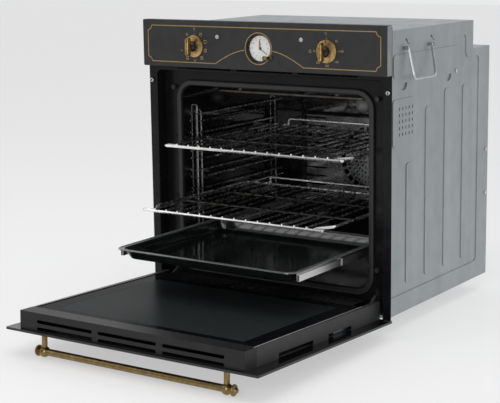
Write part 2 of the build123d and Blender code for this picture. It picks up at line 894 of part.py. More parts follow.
# Fan cover: pan with bevelled sides on the rear wall, with a round grille and louvres at each side
with BuildPart() as fan_cover:
    for wall, mode in ((0, Mode.ADD), (sheet, Mode.SUBTRACT)):
        with BuildSketch(facing_front(cavity_rear)):
            frame_rectangle(
                -fan_cover_half + wall, fan_cover_half - wall, fan_cover_bottom + wall, fan_cover_top - wall
            )
        with BuildSketch(facing_front(fan_cover_front + wall)):
            frame_rectangle(
                -fan_cover_half + fan_cover_side_bevel + wall, fan_cover_half - fan_cover_side_bevel - wall,
                fan_cover_bottom + fan_cover_edge_bevel + wall, fan_cover_top - fan_cover_edge_bevel - wall
            )
        loft(mode=mode)
    with BuildSketch(facing_front(fan_cover_front + sheet)):
        with Locations((0, fan_z)):
            for ring in range(1, grille_rings + 1):
                ring_pitch = (grille_radius - grille_cell) / (grille_rings + 0.5)
                with PolarLocations(ring_pitch * ring, 8 * ring):
                    Rectangle(0.6 * ring_pitch, grille_slot)
            with PolarLocations(grille_radius - grille_cell / 2, grille_outer_cells):
                Rectangle(grille_cell, grille_cell)
    extrude(amount=sheet, mode=Mode.SUBTRACT)
    with BuildSketch(facing_front(cavity_rear)):
        for side in (-1, 1):
            with Locations((side * louvre_x, (fan_cover_top + fan_cover_bottom) / 2)):
                with GridLocations(1, louvre_pitch, 1, louvre_count):
                    SlotOverall(louvre_length, louvre_width)
    extrude(amount=cavity_rear - fan_cover_front, mode=Mode.SUBTRACT)
fan_cover.part.label = "fan_cover"
export_step(fan_cover.part, "parts/fan_cover.step")

# Grill element under the roof: one bent tube, its plate on the rear wall and two clips from the roof
grill_path = [
    (-element_x, element_rear, grill_z),
    (-element_x, grill_far, grill_z),
    (-grill_reach, grill_far, grill_z),
    (-grill_reach, grill_near, grill_z),
]
grill_mirror = [(-x, y, z) for x, y, z in reversed(grill_path)]
with BuildPart() as grill_element:
    add(wire(grill_path + grill_mirror, element_radius, element_bend))
    add(plate(
        (-2 * element_x, 2 * element_x), (cavity_rear - 2 * sheet, cavity_rear),
        (grill_z - 3 * element_radius, grill_z + 3 * element_radius)
    ))
    for side in (-1, 1):
        clip_x = side * grill_clip_x
        add(plate(
            (clip_x - element_radius, clip_x + element_radius), (grill_near - sheet, grill_near + sheet),
            (grill_z + sheet, cavity_top)
        ))
grill_element.part.label = "grill_element"
export_step(grill_element.part, "parts/grill_element.step")

# Floor element: a bent tube held against the underside of the cavity
floor_z = cavity_bottom - sheet - element_gap - element_radius
floor_path = [
    (-element_x, element_rear, floor_z),
    (-element_x, floor_far, floor_z),
    (-floor_reach, floor_far, floor_z),
    (-floor_reach, floor_near, floor_z),
]
floor_mirror = [(-x, y, z) for x, y, z in reversed(floor_path)]
with BuildPart() as bottom_element:
    add(wire(floor_path + floor_mirror, element_radius, element_bend))
bottom_element.part.label = "bottom_element"
export_step(bottom_element.part, "parts/bottom_element.step")

# Lamp: holder behind the wall and a glass dome in the cavity
with BuildPart() as lamp_holder:
    with BuildSketch(facing_front(cavity_rear + lamp_stem * 2)):
        with Locations((lamp_x, lamp_z)):
            Circle(lamp_stem - turning_gap)
    extrude(amount=lamp_stem * 2)
    with BuildSketch(facing_front(cavity_rear + 3 * sheet)):
        with Locations((lamp_x, lamp_z)):
            Circle(lamp_dome)
    extrude(amount=2 * sheet)
lamp_holder.part.label = "lamp_holder"
export_step(lamp_holder.part, "parts/lamp_holder.step")

lamp_middle = lamp_height - lamp_sphere
lamp_rim = lamp_middle + math.sqrt(lamp_sphere**2 - lamp_dome**2)
lamp_shoulder = lamp_middle + math.sqrt(lamp_sphere**2 - lamp_dome**2 / 4)
with BuildPart() as lamp_glass:
    with BuildSketch(Plane(origin=(lamp_x, cavity_rear, lamp_z), x_dir=(1, 0, 0), z_dir=(0, 0, -1))):
        with BuildLine():
            Polyline((0, lamp_height), (0, 0), (lamp_dome, 0), (lamp_dome, lamp_rim))
            ThreePointArc((lamp_dome, lamp_rim), (lamp_dome / 2, lamp_shoulder), (0, lamp_height))
        make_face()
    revolve(axis=Axis((lamp_x, cavity_rear, lamp_z), (0, 1, 0)))
lamp_glass.part.label = "lamp_glass"
export_step(lamp_glass.part, "parts/lamp_glass.step")

# Side rack: two uprights hooked into the wall, and seven pairs of rungs welded to them
with BuildPart() as side_rack_right:
    for upright_y, rise, radius in (
        (rack_stay, rack_stay_rise, rung_wire), (rack_front, 0, rack_wire), (rack_rear, 0, rack_wire)
    ):
        upright_top = top_rung_z + rung_drop / 2 + rise
        add(wire([
            (cavity_half - sliding_gap, upright_y, upright_top),
            (upright_x, upright_y, upright_top),
            (upright_x, upright_y, rack_bottom),
            (cavity_half - sliding_gap, upright_y, rack_bottom),
        ], radius, 2 * rack_wire))
    for level in range(rack_levels):
        rung_z = top_rung_z - level * rung_pitch
        add(wire([(upper_rung_x, rung_front, rung_z), (upper_rung_x, rung_rear, rung_z)], rung_wire))
        add(wire([
            (upper_rung_x, rung_front, rung_z - rung_drop),
            (upper_rung_x, rack_front + 2 * rack_wire, rung_z - rung_drop),
            (lower_rung_x, rack_front + 6 * rack_wire, rung_z - rung_drop),
            (lower_rung_x, rack_rear - 6 * rack_wire, rung_z - rung_drop),
            (upper_rung_x, rack_rear - 2 * rack_wire, rung_z - rung_drop),
            (upper_rung_x, rung_rear, rung_z - rung_drop),
        ], rung_wire, 2 * rung_wire))
side_rack_right.part.label = "side_rack_right"
export_step(side_rack_right.part, "parts/side_rack_right.step")

with BuildPart() as side_rack_left:
    add(mirror(side_rack_right.part, about=Plane.YZ, mode=Mode.PRIVATE))
side_rack_left.part.label = "side_rack_left"
export_step(side_rack_left.part, "parts/side_rack_left.step")


def channel(web_x, lip_x, bottom, top, start):
    """A runner's member: a web with a lip at its top and bottom, open towards the middle."""
    with BuildPart() as member:
        add(plate((web_x - runner_wall, web_x), (start, start + runner_length), (bottom, top)))
        for lip_bottom in (bottom, top - runner_wall):
            add(plate(
                (lip_x, web_x), (start, start + runner_length), (lip_bottom, lip_bottom + runner_wall)
            ))
    return member.part


# Telescopic runners: each member nests inside the next and moves half of the tray's travel
member_step = runner_wall + sliding_gap
middle_web = runner_outer_x - member_step
inner_web = middle_web - member_step
runner_top = runner_bottom + runner_height
with BuildPart() as runner_outers:
    add(channel(
        runner_outer_x, runner_outer_x - runner_lip, runner_bottom, runner_top, runner_closed_front
    ))
    mirror(about=Plane.YZ)
runner_outers.part.label = "runner_outers"
export_step(runner_outers.part, "parts/runner_outers.step")

with BuildPart() as runner_middles:
    add(channel(
        middle_web, middle_web - runner_lip, runner_bottom + member_step, runner_top - member_step,
        runner_closed_front - tray_out / 2
    ))
    mirror(about=Plane.YZ)
runner_middles.part.label = "runner_middles"
export_step(runner_middles.part, "parts/runner_middles.step")

inner_start = runner_closed_front - tray_out
inner_bottom = runner_bottom + 2 * member_step
inner_top = runner_top - 2 * member_step
shoulder_x = middle_web - runner_lip - sliding_gap
with BuildPart() as runner_inners:
    add(channel(inner_web, inner_web - runner_lip, inner_bottom, inner_top, inner_start))
    add(plate(
        (inner_web - runner_lip, shoulder_x), (inner_start, inner_start + runner_length),
        (inner_bottom, tray_rim_z)
    ))
    mirror(about=Plane.YZ)
runner_inners.part.label = "runner_inners"
export_step(runner_inners.part, "parts/runner_inners.step")


def wire_shelf(front, level):
    """A wire shelf: closed frame with turned-in ears, long bars across it and a standing rear rail."""
    height = top_rung_z - level * rung_pitch - rung_drop + rung_wire + shelf_frame
    frame_front = front + shelf_frame
    frame_rear = front + shelf_depth - shelf_frame
    half = [
        (0, frame_front, height),
        (shelf_half, frame_front, height),
        (shelf_half, frame_front + shelf_ear_back, height),
        (shelf_ear, frame_front + shelf_ear_back, height),
        (shelf_half, frame_front + shelf_shoulder, height),
        (shelf_half, frame_rear, height),
        (0, frame_rear, height),
    ]
    with BuildPart() as shelf:
        add(wire(half, shelf_frame, shelf_bends))
        mirror(about=Plane.YZ)
        bar_height = height + shelf_frame + shelf_bar / 2
        for index in range(shelf_bar_count):
            bar_x = (index - (shelf_bar_count - 1) / 2) * shelf_bar_pitch
            add(wire([
                (bar_x, frame_front - shelf_bar, bar_height), (bar_x, frame_rear + shelf_bar, bar_height)
            ], shelf_bar))
        for cross_y in (front + shelf_depth / 3, front + 2 * shelf_depth / 3):
            add(wire([(-shelf_half, cross_y, height), (shelf_half, cross_y, height)], shelf_frame))
        add(wire([
            (-shelf_rail_half, frame_rear, height),
            (-shelf_rail_half, frame_rear, height + shelf_rail_rise),
            (shelf_rail_half, frame_rear, height + shelf_rail_rise),
            (shelf_rail_half, frame_rear, height),
        ], shelf_rail_wire, shelf_rail_bend))
    return shelf.part


with BuildPart() as upper_shelf:
    add(wire_shelf(shelf_closed_front - upper_shelf_out, upper_shelf_level))
upper_shelf.part.label = "upper_shelf"
export_step(upper_shelf.part, "parts/upper_shelf.step")

with BuildPart() as lower_shelf:
    add(wire_shelf(shelf_closed_front - lower_shelf_out, lower_shelf_level))
lower_shelf.part.label = "lower_shelf"
export_step(lower_shelf.part, "parts/lower_shelf.step")

# Baking tray: drawn pan with a flat rim that lies on the runners
tray_front = tray_closed_front - tray_out
tray_middle = tray_front + tray_depth / 2
with BuildPart() as baking_tray:
    for inset, wall in ((0, 0), (sheet, sheet)):
        with BuildSketch(facing_up(tray_rim_z + wall)):
            with Locations((0, tray_middle)):
                RectangleRounded(
                    2 * (tray_half - tray_rim - inset), tray_depth - 2 * (tray_rim + inset),
                    tray_corner - inset
                )
        with BuildSketch(facing_up(tray_bottom + wall)):
            with Locations((0, tray_middle)):
                RectangleRounded(
                    2 * (tray_half - tray_rim - tray_draft - inset),
                    tray_depth - 2 * (tray_rim + tray_draft + inset), tray_corner - inset
                )
        if wall == 0:
            loft()
            with BuildSketch(facing_up(tray_rim_z)):
                with Locations((0, tray_middle)):
                    RectangleRounded(2 * tray_half, tray_depth, tray_corner)
            extrude(amount=sheet)
        else:
            loft(mode=Mode.SUBTRACT)
baking_tray.part.label = "baking_tray"
export_step(baking_tray.part, "parts/baking_tray.step")

# Hinges. Receivers sit behind the slots in the face; arms hook into them and carry the pivots.
with BuildPart() as hinge_receivers:
    for side in (-1, 1):
        middle = side * hinge_x
        add(plate(
            (middle - receiver_half, middle + receiver_half), (face_back, receiver_rear),
            (hinge_slot_bottom - 4 * sheet, receiver_top - receiver_room)
        ))
        add(plate(
            (middle - receiver_half + receiver_wall, middle + receiver_half - receiver_wall),
            (face_back, receiver_rear - sheet),
            (hinge_slot_bottom - 2 * sheet, receiver_top - receiver_room - sheet)
        ), mode=Mode.SUBTRACT)
hinge_receivers.part.label = "hinge_receivers"
export_step(hinge_receivers.part, "parts/hinge_receivers.step")

link_pin_y = hinge_y + link_pin_place[0]
link_pin_z = hinge_z + link_pin_place[1]
with BuildPart() as hinge_arms:
    with BuildSketch(facing_side(hinge_x - arm_thickness / 2)):
        with Locations((hinge_y, hinge_z)):
            Circle(arm_eye)
        with BuildLine():
            Polyline(
                (hinge_y - arm_eye * 0.85, hinge_z + arm_eye / 2),
                (hinge_y + arm_shoulder[0], hinge_z + arm_shoulder[1]),
                (arm_top_front, hinge_z + arm_top),
                (receiver_rear - arm_tail, hinge_z + arm_top),
                (receiver_rear - arm_tail, hinge_z + arm_top - arm_tail_drop),
                (arm_belly[0], hinge_z + arm_belly[1]),
                (arm_hook_rear, hinge_slot_bottom - sheet),
                (face_back + turning_gap, hinge_slot_bottom - sheet),
                (face_back + turning_gap, hinge_slot_bottom + turning_gap),
                (arm_hook_front, hinge_slot_bottom + turning_gap),
                (hinge_y + arm_eye * 0.7, hinge_z - arm_eye * 0.7),
                close=True,
            )
        make_face()
    extrude(amount=arm_thickness)
    with BuildSketch(facing_side(hinge_x - arm_thickness)):
        with Locations((hinge_y, hinge_z)):
            Circle(pivot_radius + turning_gap)
    extrude(amount=2 * arm_thickness, mode=Mode.SUBTRACT)
    with BuildSketch(facing_side(hinge_x)):
        with Locations((link_pin_y, link_pin_z)):
            Circle(link_pin)
    extrude(amount=casing_inner_half - turning_gap)
    mirror(about=Plane.YZ)
hinge_arms.part.label = "hinge_arms"
export_step(hinge_arms.part, "parts/hinge_arms.step")

# Everything on the door is drawn with the door shut, then turned about the hinge to its open place.
hinge_axis = Axis((0, hinge_y, hinge_z), (1, 0, 0))
door_face = -panel_depth
door_inside = door_face + door_depth
door_top = door_bottom + door_height
box_half_bottom = box_width_bottom / 2
box_half_top = box_width_top / 2
glass_back = door_face + outer_glass
rail_top = door_bottom + rail_height
cover_bottom = door_bottom + cover_start
cover_top = door_bottom + cover_end
inner_glass_back = door_inside - sheet - glass_gap
inner_glass_front = inner_glass_back - inner_glass
inner_glass_half = box_half_bottom - trim_width
middle_glass_front = middle_glass_back - middle_glass
upper_seat = cover_bottom + glass_lap + glass_gap


def opened(piece):
    """The piece turned with the door to the opening angle at rest."""
    return piece.rotate(hinge_axis, opening_angle)


with BuildPart() as door_outer_glass:
    with BuildSketch(facing_front(glass_back)):
        rounded_rectangle(-flange_half, flange_half, door_bottom, door_top, glass_corner)
    extrude(amount=outer_glass)
    fillet(door_outer_glass.faces().sort_by(Axis.Y)[0].edges(), sheet)
    with BuildSketch(facing_front(glass_back)):
        for side in (-1, 1):
            with Locations((side * handle_x, door_bottom + handle_s)):
                Circle(handle_bolt)
    extrude(amount=outer_glass, mode=Mode.SUBTRACT)
door_outer_glass.part = opened(door_outer_glass.part)
door_outer_glass.part.label = "door_outer_glass"
export_step(door_outer_glass.part, "parts/door_outer_glass.step")

# Inner and middle glass stand in the bottom rail and under the cover
with BuildPart() as door_inner_glass:
    with BuildSketch(facing_front(inner_glass_back)):
        frame_rectangle(-inner_glass_half, inner_glass_half, rail_top + glass_gap, cover_bottom + glass_lap)
    extrude(amount=inner_glass)
door_inner_glass.part = opened(door_inner_glass.part)
door_inner_glass.part.label = "door_inner_glass"
export_step(door_inner_glass.part, "parts/door_inner_glass.step")

with BuildPart() as door_middle_glass:
    with BuildSketch(facing_front(middle_glass_back)):
        frame_rectangle(-middle_glass_half, middle_glass_half, middle_glass_bottom, cover_bottom + glass_lap)
    extrude(amount=middle_glass)
door_middle_glass.part = opened(door_middle_glass.part)
door_middle_glass.part.label = "door_middle_glass"
export_step(door_middle_glass.part, "parts/door_middle_glass.step")

# Side channel: a folded sheet that narrows towards the top, slotted for air
with BuildPart() as side_channel:
    for wall, mode in ((0, Mode.ADD), (sheet, Mode.SUBTRACT)):
        for height, half in ((door_bottom + box_start, box_half_bottom), (cover_bottom, box_half_top)):
            with BuildSketch(facing_up(height)):
                frame_rectangle(
                    inner_glass_half + sliding_gap - 2 * wall, half - wall,
                    glass_back + wall, door_inside - wall
                )
        loft(mode=mode)
    add(plate(
        (channel_foot, inner_glass_half + 2 * sheet), (glass_back, glass_back + sheet),
        (door_bottom + box_start, cover_bottom)
    ))
    with BuildSketch(facing_side(box_half_bottom + 1)):
        for slot_low, slot_high in channel_slots:
            frame_rectangle(
                glass_back, glass_back + 2 * slot_height, door_bottom + slot_low, door_bottom + slot_high
            )
    extrude(amount=-(box_half_bottom - box_half_top + 4 * sheet), mode=Mode.SUBTRACT)
with BuildPart() as door_channel_right:
    add(opened(side_channel.part))
door_channel_right.part.label = "door_channel_right"
export_step(door_channel_right.part, "parts/door_channel_right.step")

with BuildPart() as door_channel_left:
    add(mirror(door_channel_right.part, about=Plane.YZ, mode=Mode.PRIVATE))
door_channel_left.part.label = "door_channel_left"
export_step(door_channel_left.part, "parts/door_channel_left.step")

# Top cover: folded sheet with two rows of air slots in the door's end
with BuildPart() as door_top_cover:
    add(plate((-box_half_top, box_half_top), (glass_back, door_inside), (cover_bottom, cover_top)))
    add(plate(
        (-box_half_top + sheet, box_half_top - sheet), (glass_back + sheet, door_inside - sheet),
        (cover_bottom, cover_top - sheet)
    ), mode=Mode.SUBTRACT)
    with BuildSketch(facing_up(cover_top)):
        for row_y in cover_slot_rows:
            with Locations((-slot_x, row_y), (0, row_y), (slot_x, row_y)):
                SlotOverall(slot_length, cover_slot)
    extrude(amount=-sheet, mode=Mode.SUBTRACT)
    with BuildSketch(facing_side(-middle_glass_half)):
        frame_rectangle(
            middle_glass_front - 2 * sheet, door_inside - sheet, upper_seat, upper_seat + sheet
        )
        frame_rectangle(
            middle_glass_front - sheet - glass_gap, middle_glass_front - glass_gap,
            upper_seat - glass_lip, upper_seat
        )
        frame_rectangle(
            middle_glass_back + glass_gap, middle_glass_back + glass_gap + sheet,
            upper_seat - glass_lip, upper_seat
        )
    extrude(amount=2 * middle_glass_half)
door_top_cover.part = opened(door_top_cover.part)
door_top_cover.part.label = "door_top_cover"
export_step(door_top_cover.part, "parts/door_top_cover.step")

# Bottom rail: folded sheet that closes the hinge end and carries both inner glasses
rail_bottom = door_bottom + box_start
middle_seat = middle_glass_bottom - glass_gap
with BuildPart() as door_bottom_rail:
    with BuildSketch(facing_side(-rail_half)):
        frame_rectangle(glass_back, door_inside, rail_bottom, rail_bottom + sheet)
        frame_rectangle(door_inside - sheet, door_inside, rail_bottom, rail_top + glass_lap)
        frame_rectangle(inner_glass_front - 2 * sheet, door_inside, rail_top - sheet, rail_top)
        frame_rectangle(glass_back, glass_back + sheet, rail_bottom, middle_seat)
        frame_rectangle(
            glass_back, middle_glass_back + 2 * sheet, middle_seat - sheet, middle_seat
        )
        frame_rectangle(
            middle_glass_front - sheet - glass_gap, middle_glass_front - glass_gap,
            middle_seat - sheet, middle_seat + glass_lip
        )
        frame_rectangle(
            middle_glass_back + glass_gap, middle_glass_back + glass_gap + sheet,
            middle_seat - sheet, middle_seat + glass_lip
        )
    extrude(amount=2 * rail_half)
door_bottom_rail.part = opened(door_bottom_rail.part)
door_bottom_rail.part.label = "door_bottom_rail"
export_step(door_bottom_rail.part, "parts/door_bottom_rail.step")

# Hinge casings: channels open towards the cavity, with the pivot pin across them
with BuildPart() as hinge_casings:
    with BuildSketch(facing_up(casing_bottom)):
        casing_web = glass_back + sheet
        frame_rectangle(
            hinge_x - casing_half_width, hinge_x + casing_half_width, casing_web, casing_lip_y
        )
        with Locations((hinge_x, (casing_web + casing_lip_y) / 2 + casing_wall)):
            Rectangle(2 * casing_inner_half, casing_lip_y - casing_web, mode=Mode.SUBTRACT)
    extrude(amount=casing_top - casing_bottom)
    with BuildSketch(facing_side(hinge_x - casing_half_width)):
        with Locations((hinge_y, hinge_z)):
            Circle(pivot_radius)
    extrude(amount=2 * casing_half_width)
    mirror(about=Plane.YZ)
hinge_casings.part = opened(hinge_casings.part)
hinge_casings.part.label = "hinge_casings"
export_step(hinge_casings.part, "parts/hinge_casings.step")

# Hinge links: from the arm's second pin up into the casing
turned = math.radians(-opening_angle)
pin_y = link_pin_y - hinge_y
pin_z = link_pin_z - hinge_z
door_pin_y = hinge_y + pin_y * math.cos(turned) - pin_z * math.sin(turned)
door_pin_z = hinge_z + pin_y * math.sin(turned) + pin_z * math.cos(turned)
link_lean = math.asin((hinge_y + link_track - door_pin_y) / link_length)
link_start = hinge_x + arm_thickness / 2 + sliding_gap
with BuildPart() as hinge_links:
    with BuildSketch(facing_side(link_start)):
        with Locations((
            door_pin_y + link_length / 2 * math.sin(link_lean),
            door_pin_z + link_length / 2 * math.cos(link_lean),
        )):
            SlotCenterToCenter(link_length, 2 * link_half, rotation=90 - math.degrees(link_lean))
        with Locations((door_pin_y, door_pin_z)):
            Circle(link_pin + turning_gap, mode=Mode.SUBTRACT)
    extrude(amount=casing_inner_half - arm_thickness / 2 - 2 * sliding_gap)
    mirror(about=Plane.YZ)
hinge_links.part = opened(hinge_links.part)
hinge_links.part.label = "hinge_links"
export_step(hinge_links.part, "parts/hinge_links.step")

# Handle: bar with tenons between two posts with ball heads and finials
bar_y = door_face - handle_offset
bar_z = door_bottom + handle_s
bar_end = handle_x - handle_ball + handle_seat
with BuildPart() as handle_bar:
    add(rod((-bar_end, bar_y, bar_z), (bar_end, bar_y, bar_z), handle_bar_radius))
    add(rod(
        (-bar_end - handle_tenon_length, bar_y, bar_z), (bar_end + handle_tenon_length, bar_y, bar_z),
        handle_tenon
    ))
handle_bar.part = opened(handle_bar.part)
handle_bar.part.label = "handle_bar"
export_step(handle_bar.part, "parts/handle_bar.step")

with BuildPart() as handle_ends:
    with BuildSketch(Plane(origin=(handle_x, door_face, bar_z), x_dir=(1, 0, 0), z_dir=(0, 0, -1))):
        with BuildLine():
            Polyline(
                (0, -outer_glass),
                (handle_bolt - turning_gap, -outer_glass),
                (handle_bolt - turning_gap, 0),
                (handle_foot, 0),
                (handle_foot, handle_foot_height),
                (handle_post_radius, 2 * handle_foot_height),
                (handle_post_radius, handle_offset - handle_bar_radius - sheet),
                (0, handle_offset - handle_bar_radius - sheet),
                close=True,
            )
        make_face()
    revolve(axis=Axis((handle_x, door_face, bar_z), (0, 1, 0)))
    with BuildSketch(Plane(origin=(handle_x, bar_y, bar_z), x_dir=(1, 0, 0), z_dir=(0, -1, 0))):
        with BuildLine():
            ball_mouth = -math.sqrt(handle_ball**2 - handle_bar_radius**2)
            ball_side = math.sqrt(handle_ball**2 - handle_tenon**2)
            pocket = Polyline(
                (handle_seat + handle_tenon_length - handle_ball, 0),
                (handle_seat + handle_tenon_length - handle_ball, handle_tenon),
                (handle_seat - handle_ball, handle_tenon),
                (handle_seat - handle_ball, handle_bar_radius),
                (ball_mouth, handle_bar_radius),
            )
            ball_arc = ThreePointArc(pocket @ 1, (0, handle_ball), (ball_side, handle_tenon))
            finial_side = math.sqrt(handle_finial_ball**2 - handle_tenon**2)
            neck = Line(ball_arc @ 1, (handle_finial - finial_side, handle_tenon))
            finial_arc = ThreePointArc(
                neck @ 1, (handle_finial, handle_finial_ball), (handle_finial + handle_finial_ball, 0)
            )
            Line(finial_arc @ 1, pocket @ 0)
        make_face()
    revolve(axis=Axis((0, bar_y, bar_z), (1, 0, 0)))
    mirror(about=Plane.YZ)
handle_ends.part = opened(handle_ends.part)
handle_ends.part.label = "handle_ends"
export_step(handle_ends.part, "parts/handle_ends.step")

# Door bumpers: rubber buttons pushed into the face
with BuildPart() as door_bumpers:
    for height in bumper_heights:
        add(rod(
            (bumper_x, face_front, height), (bumper_x, face_front - gasket_depth, height), bumper_head
        ))
        add(rod(
            (bumper_x, face_back + bumper_stem_rear, height), (bumper_x, face_front, height), bumper_stem
        ))
    mirror(about=Plane.YZ)
door_bumpers.part.label = "door_bumpers"
export_step(door_bumpers.part, "parts/door_bumpers.step")

# Casing screws with hexagonal heads on the side panels
with BuildPart() as case_screws:
    for screw_y, screw_z in screw_places:
        screw_seat = field_half if screw_y < emboss_rear else casing_half
        with BuildSketch(facing_side(screw_seat)):
            with Locations((screw_y, screw_z)):
                RegularPolygon(screw_head, 6)
        extrude(amount=screw_head_height)
    mirror(about=Plane.YZ)
case_screws.part.label = "case_screws"
export_step(case_screws.part, "parts/case_screws.step")

# Terminal box on the upper rear wall
with BuildPart() as terminal_box:
    add(plate(
        (terminal_x, terminal_x + terminal_width), (upper_depth, upper_depth + terminal_depth),
        (step_height + 4 * sheet, step_height + terminal_height)
    ))
    fillet(terminal_box.faces().sort_by(Axis.Y)[-1].edges(), 3 * sheet)
terminal_box.part.label = "terminal_box"
export_step(terminal_box.part, "parts/terminal_box.step")

# Control panel: shallow pan whose open back stands on the flange
with BuildPart() as control_panel:
    with BuildSketch(facing_front(0)):
        rounded_rectangle(-flange_half, flange_half, panel_bottom, front_height, glass_corner)
    extrude(amount=panel_depth)
    fillet(control_panel.faces().sort_by(Axis.Y)[0].edges(), panel_wall)
    with BuildSketch(facing_front(0)):
        frame_rectangle(
            -flange_half + panel_wall, flange_half - panel_wall,
            panel_bottom + panel_wall, front_height - panel_wall
        )
    extrude(amount=panel_depth - panel_wall, mode=Mode.SUBTRACT)
    with BuildSketch(facing_front(0)):
        with Locations((-knob_x, panel_mid), (knob_x, panel_mid)):
            Circle(knob_spindle + sheet)
        with Locations((0, panel_mid)):
            Circle(clock_bore)
        with Locations((setting_x, setting_z)):
            Circle(setting_stem + sliding_gap)
        with Locations((-lens_x, lens_z), (lens_x, lens_z)):
            Circle(lens_radius)
    extrude(amount=panel_depth, mode=Mode.SUBTRACT)
control_panel.part.label = "control_panel"
export_step(control_panel.part, "parts/control_panel.step")


def rotary_control(x, width, height, depth):
    """A switch body behind the flange with its bush through the flange and a bore for the spindle."""
    with BuildPart() as control:
        with BuildSketch(facing_front(sheet + depth)):
            rounded_rectangle(
                x - width / 2, x + width / 2, panel_mid - height / 2, panel_mid + height / 2, 2 * sheet
            )
        extrude(amount=depth)
        with BuildSketch(facing_front(sheet + depth / 2)):
            with Locations((x, panel_mid)):
                Circle(switch_bush - turning_gap)
        extrude(amount=depth / 2 + 6 * sheet)
        with BuildSketch(facing_front(spindle_end)):
            with Locations((x, panel_mid)):
                Circle(knob_spindle + turning_gap)
        extrude(amount=spindle_end + panel_depth, mode=Mode.SUBTRACT)
    return control.part


with BuildPart() as function_switch:
    add(rotary_control(-knob_x, *switch_size))
function_switch.part.label = "function_switch"
export_step(function_switch.part, "parts/function_switch.step")

with BuildPart() as thermostat:
    add(rotary_control(knob_x, *thermostat_size))
thermostat.part.label = "thermostat"
export_step(thermostat.part, "parts/thermostat.step")


def knob_body(x):
    """The brass knob: domed skirt, spindle, neck and a grooved grip bar."""
    with BuildPart() as body:
        with BuildSketch(Plane(origin=(x, -panel_depth, panel_mid), x_dir=(1, 0, 0), z_dir=(0, 0, -1))):
            with BuildLine():
                skirt_edge = Polyline((0, knob_gap), (skirt_radius, knob_gap), (skirt_radius, skirt_rim))
                ThreePointArc(
                    skirt_edge @ 1, (skirt_radius / 2, (3 * skirt_dome + skirt_rim) / 4), (0, skirt_dome)
                )
                Line((0, skirt_dome), (0, knob_gap))
            make_face()
        revolve(axis=Axis((x, -panel_depth, panel_mid), (0, 1, 0)))
        add(rod(
            (x, spindle_end - spindle_short, panel_mid), (x, -panel_depth - knob_gap, panel_mid),
            knob_spindle
        ))
        add(rod((x, -panel_depth, panel_mid), (x, -panel_depth - grip_start - 1, panel_mid), knob_neck))
        with BuildSketch(facing_front(-panel_depth - grip_start)):
            with Locations((x, panel_mid)):
                SlotOverall(grip_length, grip_width, rotation=90)
        extrude(amount=grip_end - grip_start)
        fillet(body.faces().sort_by(Axis.Y)[0].edges(), grip_width / 4)
        with BuildSketch(facing_front(-panel_depth - grip_end + sheet)):
            with Locations((x, panel_mid)):
                Rectangle(grip_groove, grip_length)
        extrude(amount=2 * sheet, mode=Mode.SUBTRACT)
    return body.part


def knob_hub(x):
    """The black ball hub with a bore for the brass neck, flat where it meets the skirt and the grip."""
    low_radius = math.sqrt(hub_radius**2 - (hub_middle - skirt_dome)**2)
    high_radius = math.sqrt(hub_radius**2 - (grip_start - hub_middle)**2)
    with BuildPart() as hub:
        with BuildSketch(Plane(origin=(x, -panel_depth, panel_mid), x_dir=(1, 0, 0), z_dir=(0, 0, -1))):
            with BuildLine():
                Polyline(
                    (high_radius, grip_start), (knob_neck + turning_gap, grip_start),
                    (knob_neck + turning_gap, skirt_dome), (low_radius, skirt_dome)
                )
                ThreePointArc((low_radius, skirt_dome), (hub_radius, hub_middle), (high_radius, grip_start))
            make_face()
        revolve(axis=Axis((x, -panel_depth, panel_mid), (0, 1, 0)))
    return hub.part


with BuildPart() as function_knob:
    add(knob_body(-knob_x))
function_knob.part.label = "function_knob"
export_step(function_knob.part, "parts/function_knob.step")

with BuildPart() as function_knob_cap:
    add(knob_hub(-knob_x))
function_knob_cap.part.label = "function_knob_cap"
export_step(function_knob_cap.part, "parts/function_knob_cap.step")

with BuildPart() as thermostat_knob:
    add(knob_body(knob_x))
thermostat_knob.part.label = "thermostat_knob"
export_step(thermostat_knob.part, "parts/thermostat_knob.step")

with BuildPart() as thermostat_knob_cap:
    add(knob_hub(knob_x))
thermostat_knob_cap.part.label = "thermostat_knob_cap"
export_step(thermostat_knob_cap.part, "parts/thermostat_knob_cap.step")

# Indicator lenses: small domed plugs in the panel
with BuildPart() as indicator_lenses:
    for side in (-1, 1):
        add(rod(
            (side * lens_x, 0, lens_z), (side * lens_x, -panel_depth - sheet, lens_z),
            lens_radius - turning_gap
        ))
    fillet(indicator_lenses.faces().filter_by(Axis.Y).group_by(Axis.Y)[0].edges(), sheet)
indicator_lenses.part.label = "indicator_lenses"
export_step(indicator_lenses.part, "parts/indicator_lenses.step")

# Clock: stepped case behind the panel, dial and glass on its two ledges
clock_front = -panel_depth + panel_wall
with BuildPart() as clock_case:
    for radius, start, end, mode in (
        (clock_case_radius, clock_front, clock_case_rear, Mode.ADD),
        (clock_bore, clock_front, glass_ledge, Mode.SUBTRACT),
        (dial_bore, glass_ledge, dial_ledge, Mode.SUBTRACT),
        (works_bore, dial_ledge, clock_case_rear - 2 * sheet, Mode.SUBTRACT),
    ):
        with BuildSketch(facing_front(end)):
            with Locations((0, panel_mid)):
                Circle(radius)
        extrude(amount=end - start, mode=mode)
    with BuildSketch(facing_front(clock_case_rear - 2 * sheet)):
        with Locations((0, panel_mid)):
            Circle(works_radius)
            Circle(timer_arbor + turning_gap, mode=Mode.SUBTRACT)
    extrude(amount=clock_case_rear - 2 * sheet - works_front)
    with BuildSketch(facing_front(setting_end)):
        with Locations((setting_x, setting_z)):
            Circle(setting_stem + turning_gap)
    extrude(amount=setting_end + panel_depth, mode=Mode.SUBTRACT)
clock_case.part.label = "clock_case"
export_step(clock_case.part, "parts/clock_case.step")

